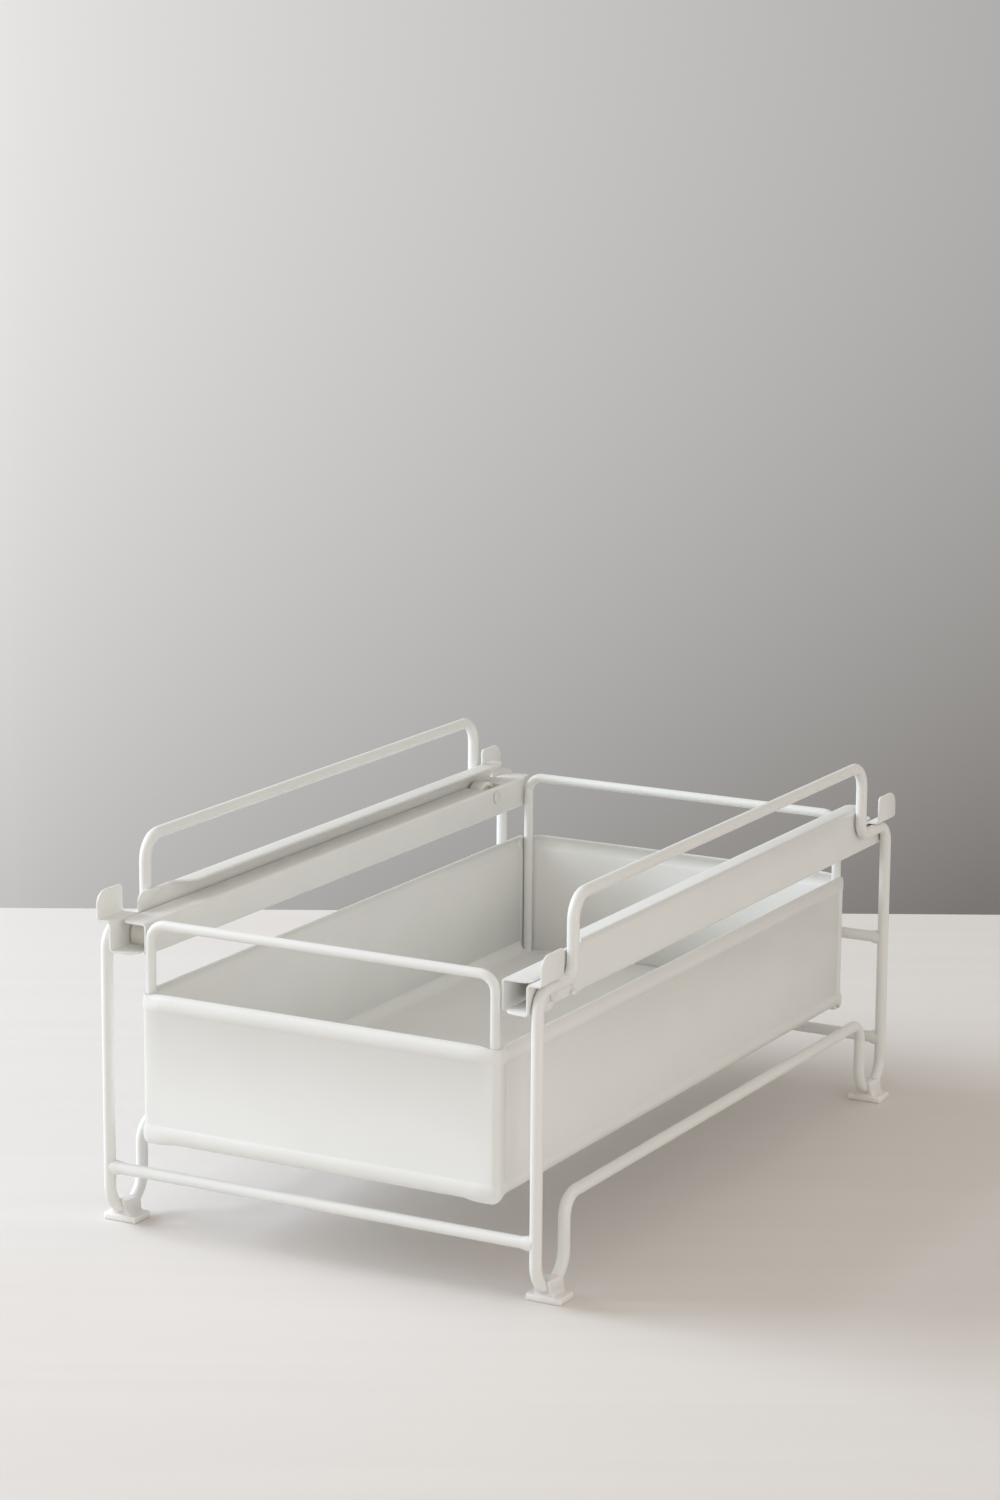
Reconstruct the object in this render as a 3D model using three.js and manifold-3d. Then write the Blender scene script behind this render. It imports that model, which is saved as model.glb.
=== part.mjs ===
// Wire storage organizer with a sheet-steel drawer that runs on rollers.
// Sizes are in millimetres. X points right, Y points back and Z points up.
// The origin lies on the floor under the middle of the frame.

import * as THREE from 'three';
import { mergeVertices } from 'three/addons/utils/BufferGeometryUtils.js';
import Module from 'manifold-3d';

const wasm = await Module();
wasm.setup();

// Clearances
const weldGap = 0.3; // between pieces that are welded or clipped together
const rollGap = 0.3; // between a roller and the flange that it runs on

// Side frames, bent from one wire each, and the bars between them
const frameWidth = 200; // between the wire centres of the two sides
const legSpacing = 336.6; // between the wire centres of front and rear legs
const frameWire = 5;
const guardLength = 279; // between the uprights of the raised guard
const guardRise = 32.6; // from the bar on the leg tops to the guard rail
const lowRailHeight = 39.1;
const footWidth = 23.8; // from a leg to the inner upright of its foot loop
const legBend = 8;
const guardFootBend = 6;
const guardBend = 10;
const lowRailBend = 9;
const crossBarHeight = 26;
const rearBarHeight = 73.8;

// Foot caps
const capBaseWidth = 15.8;
const capBaseLength = 11.4;
const capBaseThickness = 3;
const capClipWidth = 7.6;
const capClipFront = 8; // from the middle of the foot loop to the clip's front
const capClipBack = 5.6; // from the middle of the foot loop to the clip's back
const capClipRise = 6.2; // of the clip's back above the base
const capClipSlant = 1; // how far the clip's top rises to its front
const capClipUndercut = 3.6; // how far the clip's foot lies behind its front
const capClipRound = 3.4; // rounding of the clip's upper back edge
const capCorner = 1.2;

// Drawer tray, front and back panels
const trayFloorHeight = 45.6; // from the ground to the underside of the floor
const trayHeight = 57.6;
const traySheet = 0.8;
const trayFillet = 5; // between the floor and the sides
const beadHeight = 7;
const beadBulge = 1.6;
const lowBeadHeight = 5.5; // of the bead along the lower edge of a side
const lowBeadBulge = 1.3;
const sideSkirt = 2.8; // how far the sides reach below the floor
const panelSkirt = 5.1; // how far the panels reach below the floor
const panelReturn = 3; // straight length of a panel past its corner
const frontSetback = 0.2; // of the front bead behind the face of the legs
const rearClearance = 2.5; // between the back bead and the rear cross bars

// Wire hoops of the drawer
const hoopWire = 4.2;
const hoopBend = 7;
const hoopRise = 0.5; // of the hoop wire over the top of the drawer rails
const hoopFoot = 1.2; // of the wire ends below the panels

// Rollers and their rivets
const rollerDiameter = 14;
const rollerWidth = 6.8;
const rollerEdge = 0.8;
const rivetDiameter = 3;
const rivetHeadDiameter = 5;
const rivetHeadThickness = 0.8;
const rivetHoleClearance = 0.6; // on the diameter
const shoulderDiameter = 6;
const shoulderLength = 3.3;
const frontRollerSideGap = 0.5; // to the web that carries it
const rearRollerSideGap = 2; // to the web that it runs along
const frontRollerInset = 20; // from the front end of the fixed rail
const rearRollerInset = 27.5; // from the rear hoop
const rollerSlotMargin = 0.6;

// Rails
const railSheet = 1;
const railPlay = 1.4; // between the drawer rail's flange and the fixed web
const flangeClearance = 2; // between the fixed floor flange and the drawer web
const rollerHeadroom = 4.5;
const channelDrop = 10.9; // from the drawer flange down to the channel floor
const topFlangeWidth = 8.5;
const raisedSetback = 3; // of the raised web from the shelves
const topFlangeSetback = 24; // from the front of the raised web
const topFlangeRamp = 7;
const shelfLift = 12.3; // from the bottom of the fixed rail to its shelves
const trayToRail = 14.3; // from the tray's rim up to the drawer rail
const drawerRailDepth = 13.5;
const railCorner = 4;
const noseSetback = 1.5; // of the floor flange behind the end of the web
const drawerFlangeTail = 6.5; // of the drawer rail's flange behind the rear hoop
const tabLength = 18;
const tabRise = 11.6; // above the shelf
const tabCorner = 6; // at its outer end
const tabInnerCorner = 2;
const tabOverhang = 0.2; // past the outer face of the legs
const tabReach = 0.8; // of the tab beyond the outer face of the side wire
const stopRadius = 5;
const stopDepth = 3.2;
const stopWall = 1;
const stopSpacing = 15; // from the front roller to the stop dent

// Facets
const wireSides = 12;
const bendSteps = 5;
const cornerSteps = 4;
const beadSteps = 6;
const roundSides = 28;

// Heights, stacked from the ground up
const footHeight = capBaseThickness + weldGap + frameWire / 2;
const trayFloorTop = trayFloorHeight + traySheet;
const trayTop = trayFloorHeight + trayHeight;
const sideBottom = trayFloorHeight - sideSkirt;
const panelBottom = trayFloorHeight - panelSkirt;
const drawerRailBottom = trayTop + trayToRail;
const drawerRailTop = drawerRailBottom + drawerRailDepth;
const drawerFlangeUnderside = drawerRailTop - railSheet;
const hoopTop = drawerRailTop + hoopRise;
const channelFloor = drawerFlangeUnderside - channelDrop;
const railBottom = channelFloor - railSheet;
const railTop = channelFloor + rollerDiameter + 2 * rollGap + rollerHeadroom + railSheet;
const frontRollerHeight = drawerFlangeUnderside - rollGap - rollerDiameter / 2;
const rearRollerHeight = channelFloor + rollGap + rollerDiameter / 2;
const shelfUnderside = railBottom + shelfLift;
const shelfTop = shelfUnderside + railSheet;
const legTop = shelfUnderside - weldGap - frameWire / 2;
const guardTop = legTop + guardRise;

// Distances from the middle plane, from the side wires inward
const sideX = frameWidth / 2;
const fixedWebOuter = sideX - frameWire / 2 - weldGap;
const fixedWebInner = fixedWebOuter - railSheet;
const tabOuter = sideX + frameWire / 2 + tabReach;
const drawerFlangeEdge = fixedWebInner - railPlay;
const frontRollerOuter = fixedWebInner - frontRollerSideGap;
const frontRollerInner = frontRollerOuter - rollerWidth;
const rearRollerOuter = fixedWebInner - rearRollerSideGap;
const rearRollerInner = rearRollerOuter - rollerWidth;
const drawerWebOuter = rearRollerInner - shoulderLength - 2 * weldGap;
const drawerWebInner = drawerWebOuter - railSheet;
const floorFlangeEdge = drawerWebOuter + flangeClearance;
const hoopX = drawerWebInner - weldGap - hoopWire / 2;
const traySideInner = hoopX + hoopWire / 2 + weldGap;
const traySideOuter = traySideInner + traySheet;

// Distances from front to back
const legY = legSpacing / 2;
const guardY = guardLength / 2;
const footInnerY = legY - footWidth;
const footMiddleY = legY - footWidth / 2;
const railEnd = legY + frameWire / 2 + tabOverhang;
const tabInnerEnd = railEnd - tabLength;
const raisedFront = raisedSetback - tabInnerEnd;
const raisedBack = tabInnerEnd - raisedSetback;
const frontRollerY = frontRollerInset - railEnd;
const stopY = frontRollerY + stopSpacing;
const panelFront = frontSetback + beadBulge - legY - frameWire / 2;
const panelBack = legY - frameWire / 2 - rearClearance - beadBulge;
const frontHoopY = panelFront + traySheet + weldGap + hoopWire / 2;
const rearHoopY = panelBack - traySheet - weldGap - hoopWire / 2;
const rearRollerY = rearHoopY - rearRollerInset;
const panelCorner = hoopWire / 2 + weldGap + traySheet; // bent round the hoop's upright
const frontSeam = panelFront + panelCorner + panelReturn;
const backSeam = panelBack - panelCorner - panelReturn;

// Finishes
const powderCoat = new THREE.MeshStandardMaterial({ color: 0xe4e2dc, roughness: 0.5, metalness: 0 });
const nylon = new THREE.MeshStandardMaterial({ color: 0xefede6, roughness: 0.45, metalness: 0 });
const milkyPlastic = new THREE.MeshStandardMaterial({ color: 0xe9e5dc, roughness: 0.35, metalness: 0 });
const coatedRivet = new THREE.MeshStandardMaterial({ color: 0xd9d7d1, roughness: 0.4, metalness: 0.2 });

// A path in one plane through given points. Sections stand square to it, with their second
// axis along the plane's normal.
class PlanarPath extends THREE.Curve {
  constructor(points, planeNormal) {
    super();
    this.points = points;
    this.planeNormal = planeNormal;
  }

  getPointAt(share) {
    return this.points[Math.round(share * (this.points.length - 1))].clone();
  }

  tangentAt(index) {
    const last = this.points.length - 1;
    const point = this.points[index];
    const tangent = new THREE.Vector3();
    if (index > 0) tangent.add(point.clone().sub(this.points[index - 1]).normalize());
    if (index < last) tangent.add(this.points[index + 1].clone().sub(point).normalize());
    return tangent.normalize();
  }

  computeFrenetFrames() {
    const tangents = this.points.map((_, index) => this.tangentAt(index));
    const normals = tangents.map((tangent) => this.planeNormal.clone().cross(tangent));
    const binormals = tangents.map(() => this.planeNormal.clone());
    return { tangents, normals, binormals };
  }
}

// Points along straight runs whose corners are rounded. Each corner is a point and a bend radius.
function bentPoints(corners, steps) {
  const points = [];
  const addPoint = (point) => {
    const previous = points.at(-1);
    if (!previous || previous.distanceTo(point) > weldGap / 10) points.push(point);
  };
  corners.forEach(({ point, radius }, index) => {
    if (!radius) {
      addPoint(point);
      return;
    }
    const arriving = point.clone().sub(corners[index - 1].point).normalize();
    const leaving = corners[index + 1].point.clone().sub(point).normalize();
    const turn = arriving.angleTo(leaving);
    const toCentre = leaving.clone().addScaledVector(arriving, -arriving.dot(leaving)).normalize();
    const centre = point.clone().addScaledVector(arriving, -radius * Math.tan(turn / 2));
    centre.addScaledVector(toCentre, radius);
    for (let step = 0; step <= steps; step += 1) {
      const angle = (turn * step) / steps;
      const onArc = centre.clone().addScaledVector(toCentre, -radius * Math.cos(angle));
      addPoint(onArc.addScaledVector(arriving, radius * Math.sin(angle)));
    }
  });
  return points;
}

function corner(x, y, z, radius = 0) {
  return { point: new THREE.Vector3(x, y, z), radius };
}

function sweep(section, points, planeNormal) {
  const extrudePath = new PlanarPath(points, planeNormal);
  return new THREE.ExtrudeGeometry(section, { steps: points.length - 1, extrudePath });
}

function wireSection(diameter) {
  const points = [];
  for (let side = 0; side < wireSides; side += 1) {
    const angle = (2 * Math.PI * side) / wireSides;
    points.push(new THREE.Vector2(Math.cos(angle), Math.sin(angle)).multiplyScalar(diameter / 2));
  }
  return new THREE.Shape(points);
}

// An outline with rounded corners, from a list of [across, up, corner radius].
function roundedOutline(corners) {
  const outline = new THREE.Shape();
  const points = corners.map(([across, up]) => new THREE.Vector2(across, up));
  corners.forEach(([across, up, radius = 0], index) => {
    const before = points.at(index - 1);
    const after = points[(index + 1) % points.length];
    const towards = (other) => other.clone().sub(points[index]).setLength(radius).add(points[index]);
    const start = towards(before);
    const end = towards(after);
    if (index === 0) outline.moveTo(start.x, start.y);
    else outline.lineTo(start.x, start.y);
    if (radius > 0) outline.quadraticCurveTo(across, up, end.x, end.y);
  });
  outline.closePath();
  return outline;
}

// A flat plate: its outline lies in X and Y and its thickness runs up from a height.
function levelPlate(outline, bottom, thickness) {
  const options = { depth: thickness, bevelEnabled: false, curveSegments: cornerSteps };
  return new THREE.ExtrudeGeometry(outline, options).translate(0, 0, bottom);
}

// A standing plate: its outline lies in Y and Z and its thickness runs to the right.
function standingPlate(outline, left, thickness) {
  const axes = new THREE.Matrix4().makeBasis(
    new THREE.Vector3(0, 1, 0),
    new THREE.Vector3(0, 0, 1),
    new THREE.Vector3(1, 0, 0),
  );
  return levelPlate(outline, 0, thickness).applyMatrix4(axes).translate(left, 0, 0);
}

function block(left, right, front, back, bottom, top) {
  const box = new THREE.BoxGeometry(right - left, back - front, top - bottom);
  return box.translate((left + right) / 2, (front + back) / 2, (bottom + top) / 2);
}

// A round piece on an axis along X, from a profile of [radius, distance along X].
function turnedAlongX(profile, y, z) {
  const points = profile.map(([radius, along]) => new THREE.Vector2(radius, along));
  return new THREE.LatheGeometry(points, roundSides).rotateZ(-Math.PI / 2).translate(0, y, z);
}

function turnedPin(diameter, left, right, y, z) {
  return turnedAlongX([[0, left], [diameter / 2, left], [diameter / 2, right], [0, right]], y, z);
}

function solidOf(geometry) {
  const bare = geometry.clone();
  bare.deleteAttribute('normal');
  bare.deleteAttribute('uv');
  const welded = mergeVertices(bare);
  const vertProperties = new Float32Array(welded.attributes.position.array);
  const triVerts = new Uint32Array(welded.index.array);
  return new wasm.Manifold(new wasm.Mesh({ numProp: 3, vertProperties, triVerts }));
}

function geometryOf(solid) {
  const mesh = solid.getMesh();
  const geometry = new THREE.BufferGeometry();
  geometry.setAttribute('position', new THREE.BufferAttribute(mesh.vertProperties, 3));
  geometry.setIndex(new THREE.BufferAttribute(mesh.triVerts, 1));
  geometry.computeVertexNormals();
  return geometry;
}

function join(...geometries) {
  return geometryOf(geometries.map(solidOf).reduce((whole, piece) => whole.add(piece)));
}

function cut(geometry, ...tools) {
  return geometryOf(tools.map(solidOf).reduce((rest, tool) => rest.subtract(tool), solidOf(geometry)));
}

// The left-hand copy of a right-hand piece.
function mirrored(geometry) {
  const copy = geometry.index ? geometry.toNonIndexed() : geometry.clone();
  copy.scale(-1, 1, 1);
  const corners = copy.attributes.position;
  for (let first = 0; first < corners.count; first += 3) {
    const second = new THREE.Vector3().fromBufferAttribute(corners, first + 1);
    const third = new THREE.Vector3().fromBufferAttribute(corners, first + 2);
    corners.setXYZ(first + 1, third.x, third.y, third.z);
    corners.setXYZ(first + 2, second.x, second.y, second.z);
  }
  copy.computeVertexNormals();
  return copy;
}

const organizer = new THREE.Group();

function addPiece(name, geometry, material) {
  const piece = new THREE.Mesh(geometry, material);
  piece.name = name;
  organizer.add(piece);
}

function addPair(name, rightGeometry, material) {
  addPiece(name.replace('SIDE', 'right'), rightGeometry, material);
  addPiece(name.replace('SIDE', 'left'), mirrored(rightGeometry), material);
}

// Side frame: half of the closed wire loop, from the low rail round a foot and up to the guard.
function halfSideFrame(end) {
  const footBend = footWidth / 2;
  const corners = [
    corner(sideX, 0, lowRailHeight),
    corner(sideX, end * footInnerY, lowRailHeight, lowRailBend),
    corner(sideX, end * footInnerY, footHeight, footBend),
    corner(sideX, end * legY, footHeight, footBend),
    corner(sideX, end * legY, legTop, legBend),
    corner(sideX, end * guardY, legTop, guardFootBend),
    corner(sideX, end * guardY, guardTop, guardBend),
    corner(sideX, 0, guardTop),
  ];
  return sweep(wireSection(frameWire), bentPoints(corners, bendSteps), new THREE.Vector3(1, 0, 0));
}

addPair('SIDE_side_frame', join(halfSideFrame(-1), halfSideFrame(1)), powderCoat);

// Cross bars between the legs
function crossBar(y, height) {
  const end = sideX - frameWire / 2 - weldGap;
  const points = [new THREE.Vector3(-end, y, height), new THREE.Vector3(end, y, height)];
  return sweep(wireSection(frameWire), points, new THREE.Vector3(0, 0, 1));
}

addPiece('front_cross_bar', crossBar(-legY, crossBarHeight), powderCoat);
addPiece('rear_lower_cross_bar', crossBar(legY, crossBarHeight), powderCoat);
addPiece('rear_upper_cross_bar', crossBar(legY, rearBarHeight), powderCoat);

// Foot cap: a base plate and a clip with a round back that the foot loop runs through
function footCap(end) {
  const middle = end * footMiddleY;
  const base = levelPlate(roundedOutline([
    [sideX - capBaseWidth / 2, middle - capBaseLength / 2, capCorner],
    [sideX + capBaseWidth / 2, middle - capBaseLength / 2, capCorner],
    [sideX + capBaseWidth / 2, middle + capBaseLength / 2, capCorner],
    [sideX - capBaseWidth / 2, middle + capBaseLength / 2, capCorner],
  ]), 0, capBaseThickness);
  const clipTop = capBaseThickness + capClipRise;
  const clipFoot = capBaseThickness / 2;
  const clip = standingPlate(roundedOutline([
    [middle - capClipFront + capClipUndercut, clipFoot],
    [middle + capClipBack, clipFoot],
    [middle + capClipBack, clipTop, capClipRound],
    [middle - capClipFront, clipTop + capClipSlant, capCorner],
  ]), sideX - capClipWidth / 2, capClipWidth);
  const footBend = footWidth / 2;
  const loop = bentPoints([
    corner(sideX, end * footInnerY, lowRailHeight),
    corner(sideX, end * footInnerY, footHeight, footBend),
    corner(sideX, end * legY, footHeight, footBend),
    corner(sideX, end * legY, lowRailHeight),
  ], bendSteps);
  const groove = sweep(wireSection(frameWire + 2 * weldGap), loop, new THREE.Vector3(1, 0, 0));
  return cut(join(base, clip), groove);
}

addPair('front_SIDE_foot_cap', footCap(-1), milkyPlastic);
addPair('rear_SIDE_foot_cap', footCap(1), milkyPlastic);

// Fixed rail: an inward channel with a shelf and a stacking tab at each end
function fixedRailWeb() {
  return standingPlate(roundedOutline([
    [-railEnd, railBottom],
    [railEnd, railBottom],
    [railEnd, shelfTop],
    [raisedBack, shelfTop],
    [raisedBack, railTop, railSheet],
    [raisedFront, railTop, railCorner],
    [raisedFront, shelfTop],
    [-railEnd, shelfTop],
  ]), fixedWebInner, railSheet);
}

function fixedRailFloorFlange() {
  const flangeEnd = railEnd - noseSetback;
  return levelPlate(roundedOutline([
    [floorFlangeEdge, -flangeEnd, railCorner],
    [fixedWebOuter, -flangeEnd],
    [fixedWebOuter, flangeEnd],
    [floorFlangeEdge, flangeEnd, railCorner],
  ]), railBottom, railSheet);
}

function fixedRailTopFlange() {
  const front = raisedFront + topFlangeSetback;
  return levelPlate(roundedOutline([
    [fixedWebOuter, front],
    [fixedWebOuter, raisedBack],
    [fixedWebOuter - topFlangeWidth, raisedBack, railCorner],
    [fixedWebOuter - topFlangeWidth, front + topFlangeRamp, railCorner],
  ]), railTop - railSheet, railSheet);
}

function stackingShelf(end) {
  const front = Math.min(end * railEnd, end * tabInnerEnd);
  return block(fixedWebInner, tabOuter, front, front + tabLength, shelfUnderside, shelfTop);
}

function stackingTab(end) {
  return standingPlate(roundedOutline([
    [end * railEnd, shelfUnderside],
    [end * railEnd, shelfTop + tabRise, tabCorner],
    [end * tabInnerEnd, shelfTop + tabRise, tabInnerCorner],
    [end * tabInnerEnd, shelfUnderside],
  ]), tabOuter - railSheet, railSheet);
}

// The stop is a half-round dent, pressed into the foot of the web as a bump in the roller's way.
function stopDent(radius, left, right) {
  const outline = new THREE.Shape().absarc(stopY, railBottom, radius, 0, Math.PI, false).closePath();
  return standingPlate(outline, left, right - left);
}

function fixedRail() {
  const channel = join(
    fixedRailWeb(),
    fixedRailFloorFlange(),
    fixedRailTopFlange(),
    stackingShelf(-1),
    stackingShelf(1),
    stackingTab(-1),
    stackingTab(1),
    stopDent(stopRadius, fixedWebInner - stopDepth, fixedWebOuter),
  );
  const dentFloor = fixedWebInner - stopDepth + stopWall;
  const dent = stopDent(stopRadius - stopWall, dentFloor, fixedWebOuter + weldGap);
  const rollerSink = frontRollerHeight - channelFloor;
  const halfChord = Math.sqrt(Math.max((rollerDiameter / 2) ** 2 - rollerSink ** 2, 0));
  const rollerReach = halfChord + rollerSlotMargin;
  const rollerSlot = block(
    frontRollerInner - rollerSlotMargin,
    frontRollerOuter + rollerSlotMargin / 2,
    frontRollerY - rollerReach,
    frontRollerY + rollerReach,
    railBottom - railSheet,
    channelFloor + rollGap,
  );
  const rivetHole = turnedPin(
    rivetDiameter + rivetHoleClearance,
    fixedWebInner - railSheet,
    fixedWebOuter + railSheet,
    frontRollerY,
    frontRollerHeight,
  );
  return cut(channel, dent, rollerSlot, rivetHole);
}

addPair('SIDE_fixed_rail', fixedRail(), powderCoat);

// Drawer rail: an upside-down angle whose flange runs on the front roller
function drawerFlange(front, back) {
  return levelPlate(roundedOutline([
    [drawerWebInner, front],
    [drawerFlangeEdge, front, railCorner],
    [drawerFlangeEdge, back, railCorner],
    [drawerWebInner, back],
  ]), drawerFlangeUnderside, railSheet);
}

function drawerRail() {
  const web = standingPlate(roundedOutline([
    [frontHoopY, drawerRailBottom, railSheet],
    [rearHoopY, drawerRailBottom, railSheet],
    [rearHoopY, drawerRailTop],
    [frontHoopY, drawerRailTop],
  ]), drawerWebInner, railSheet);
  const flange = drawerFlange(frontHoopY, rearHoopY + drawerFlangeTail);
  const slotHalf = rollerDiameter / 2 + rollerSlotMargin;
  const rollerSlot = block(
    drawerWebOuter,
    drawerFlangeEdge + railSheet,
    rearRollerY - slotHalf,
    rearRollerY + slotHalf,
    drawerFlangeUnderside - weldGap,
    drawerRailTop + weldGap,
  );
  const rivetHole = turnedPin(
    rivetDiameter + rivetHoleClearance,
    drawerWebInner - railSheet,
    drawerWebOuter + railSheet,
    rearRollerY,
    rearRollerHeight,
  );
  return cut(join(web, flange), rollerSlot, rivetHole);
}

addPair('SIDE_drawer_rail', drawerRail(), powderCoat);

// Rollers and the rivets that they turn on
function roller(inner, outer, y, height) {
  const bore = (rivetDiameter + rivetHoleClearance) / 2;
  const tread = rollerDiameter / 2;
  return turnedAlongX([
    [bore, inner],
    [tread - rollerEdge, inner],
    [tread, inner + rollerEdge],
    [tread, outer - rollerEdge],
    [tread - rollerEdge, outer],
    [bore, outer],
    [bore, inner],
  ], y, height);
}

function frontRivet() {
  const shank = rivetDiameter / 2;
  const head = rivetHeadDiameter / 2;
  const innerHead = frontRollerInner - weldGap;
  const outerHead = fixedWebOuter + weldGap;
  return turnedAlongX([
    [0, innerHead - rivetHeadThickness],
    [head, innerHead - rivetHeadThickness],
    [head, innerHead],
    [shank, innerHead],
    [shank, outerHead],
    [head, outerHead],
    [head, outerHead + rivetHeadThickness],
    [0, outerHead + rivetHeadThickness],
  ], frontRollerY, frontRollerHeight);
}

function rearRivet() {
  const shank = rivetDiameter / 2;
  const head = rivetHeadDiameter / 2;
  const shoulder = shoulderDiameter / 2;
  const innerHead = drawerWebInner - weldGap;
  const outerHead = rearRollerOuter + weldGap;
  return turnedAlongX([
    [0, innerHead - rivetHeadThickness],
    [head, innerHead - rivetHeadThickness],
    [head, innerHead],
    [shank, innerHead],
    [shank, drawerWebOuter + weldGap],
    [shoulder, drawerWebOuter + weldGap],
    [shoulder, rearRollerInner - weldGap],
    [shank, rearRollerInner - weldGap],
    [shank, outerHead],
    [head, outerHead],
    [head, outerHead + rivetHeadThickness],
    [0, outerHead + rivetHeadThickness],
  ], rearRollerY, rearRollerHeight);
}

const frontRoller = roller(frontRollerInner, frontRollerOuter, frontRollerY, frontRollerHeight);
const rearRoller = roller(rearRollerInner, rearRollerOuter, rearRollerY, rearRollerHeight);

addPair('front_SIDE_roller', frontRoller, nylon);
addPair('rear_SIDE_roller', rearRoller, nylon);
addPair('front_SIDE_roller_rivet', frontRivet(), coatedRivet);
addPair('rear_SIDE_roller_rivet', rearRivet(), coatedRivet);

// A bead is an outward bulge of the sheet, an arc over its height. Gives [bulge, height] points
// from the bottom up.
function beadPoints(bottom, height = beadHeight, bulge = beadBulge) {
  const radius = (height ** 2 / 4 + bulge ** 2) / (2 * bulge);
  const points = [];
  for (let step = 0; step <= beadSteps; step += 1) {
    const fromMiddle = (step / beadSteps - 0.5) * height;
    const standOut = Math.sqrt(radius ** 2 - fromMiddle ** 2) - (radius - bulge);
    points.push([standOut, bottom + height / 2 + fromMiddle]);
  }
  return points;
}

// Front and back panels: one sheet with a bead along its top and bottom, bent round both corners
function panelSection() {
  const rising = [...beadPoints(panelBottom), ...beadPoints(trayTop - beadHeight)];
  const outerFace = rising.map(([bulge, height]) => new THREE.Vector2(-bulge, height));
  const innerFace = rising.map(([bulge, height]) => new THREE.Vector2(traySheet - bulge, height));
  return new THREE.Shape([...outerFace, ...innerFace.reverse()]);
}

function endPanel(end, face, seam) {
  const returnEnd = seam - end * (weldGap / 2);
  const points = bentPoints([
    corner(end * traySideOuter, returnEnd, 0),
    corner(end * traySideOuter, face, 0, panelCorner),
    corner(-end * traySideOuter, face, 0, panelCorner),
    corner(-end * traySideOuter, returnEnd, 0),
  ], cornerSteps);
  return sweep(panelSection(), points, new THREE.Vector3(0, 0, 1));
}

addPiece('drawer_front_panel', endPanel(-1, panelFront, frontSeam), powderCoat);
addPiece('drawer_back_panel', endPanel(1, panelBack, backSeam), powderCoat);

// Drawer tray: two sides with a bead along the rim and the lower edge, and a floor whose edges turn
// up against them
function traySideSection() {
  const rising = [
    ...beadPoints(sideBottom, lowBeadHeight, lowBeadBulge),
    ...beadPoints(trayTop - beadHeight),
  ];
  const outerFace = rising.map(([bulge, height]) => new THREE.Vector2(traySideOuter + bulge, height));
  const innerFace = rising.map(([bulge, height]) => new THREE.Vector2(traySideInner + bulge, height));
  return new THREE.Shape([...outerFace, ...innerFace.reverse()]);
}

function trayFloorSection() {
  const edge = (traySideInner + traySideOuter) / 2;
  const centre = new THREE.Vector2(traySideInner - trayFillet, trayFloorTop + trayFillet);
  const half = [new THREE.Vector2(edge, trayFloorHeight), new THREE.Vector2(edge, centre.y)];
  for (let step = 0; step <= cornerSteps; step += 1) {
    const angle = (Math.PI / 2) * (step / cornerSteps);
    const direction = new THREE.Vector2(Math.cos(angle), -Math.sin(angle));
    half.push(direction.multiplyScalar(trayFillet).add(centre));
  }
  const otherHalf = half.map((point) => new THREE.Vector2(-point.x, point.y)).reverse();
  return new THREE.Shape([...half, ...otherHalf]);
}

function drawerTray() {
  const axis = [
    new THREE.Vector3(0, backSeam - weldGap / 2, 0),
    new THREE.Vector3(0, frontSeam + weldGap / 2, 0),
  ];
  const up = new THREE.Vector3(0, 0, 1);
  const rightSide = sweep(traySideSection(), axis, up);
  const turnedUpFloor = sweep(trayFloorSection(), axis, up);
  const floorHalf = hoopX - hoopWire / 2 - weldGap;
  const floor = block(
    -floorHalf,
    floorHalf,
    panelFront + traySheet + weldGap,
    panelBack - traySheet - weldGap,
    trayFloorHeight,
    trayFloorTop,
  );
  return join(rightSide, mirrored(rightSide), turnedUpFloor, floor);
}

addPiece('drawer_tray', drawerTray(), powderCoat);

// Wire hoops over the drawer's front and back, with their uprights in its corners
function hoop(y) {
  const foot = panelBottom - hoopFoot;
  const corners = [
    corner(-hoopX, y, foot),
    corner(-hoopX, y, hoopTop, hoopBend),
    corner(hoopX, y, hoopTop, hoopBend),
    corner(hoopX, y, foot),
  ];
  return sweep(wireSection(hoopWire), bentPoints(corners, bendSteps), new THREE.Vector3(0, 1, 0));
}

addPiece('front_wire_hoop', hoop(frontHoopY), powderCoat);
addPiece('rear_wire_hoop', hoop(rearHoopY), powderCoat);

export default organizer;
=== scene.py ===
"""Wire storage organizer with a sheet-steel drawer, dressed for a studio picture."""

import math

import bmesh
import bpy
from bpy.props import FloatProperty, FloatVectorProperty, IntProperty, PointerProperty
from mathutils import Matrix, Vector


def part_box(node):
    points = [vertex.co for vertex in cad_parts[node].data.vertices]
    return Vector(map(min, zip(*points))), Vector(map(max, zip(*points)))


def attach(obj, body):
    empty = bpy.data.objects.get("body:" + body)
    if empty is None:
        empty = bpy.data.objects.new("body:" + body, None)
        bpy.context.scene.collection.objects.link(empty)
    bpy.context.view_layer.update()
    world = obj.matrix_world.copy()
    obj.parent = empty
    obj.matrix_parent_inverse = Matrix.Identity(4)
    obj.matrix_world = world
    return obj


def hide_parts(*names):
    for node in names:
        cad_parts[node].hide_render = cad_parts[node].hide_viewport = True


bl_info = {
    "name": "Wire Storage Organizer",
    "version": (1, 0, 0),
    "blender": (4, 5, 0),
    "location": "3D View > Sidebar > Organizer",
    "description": "Models a powder-coated wire organizer with a roller drawer",
    "category": "Object",
}

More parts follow.
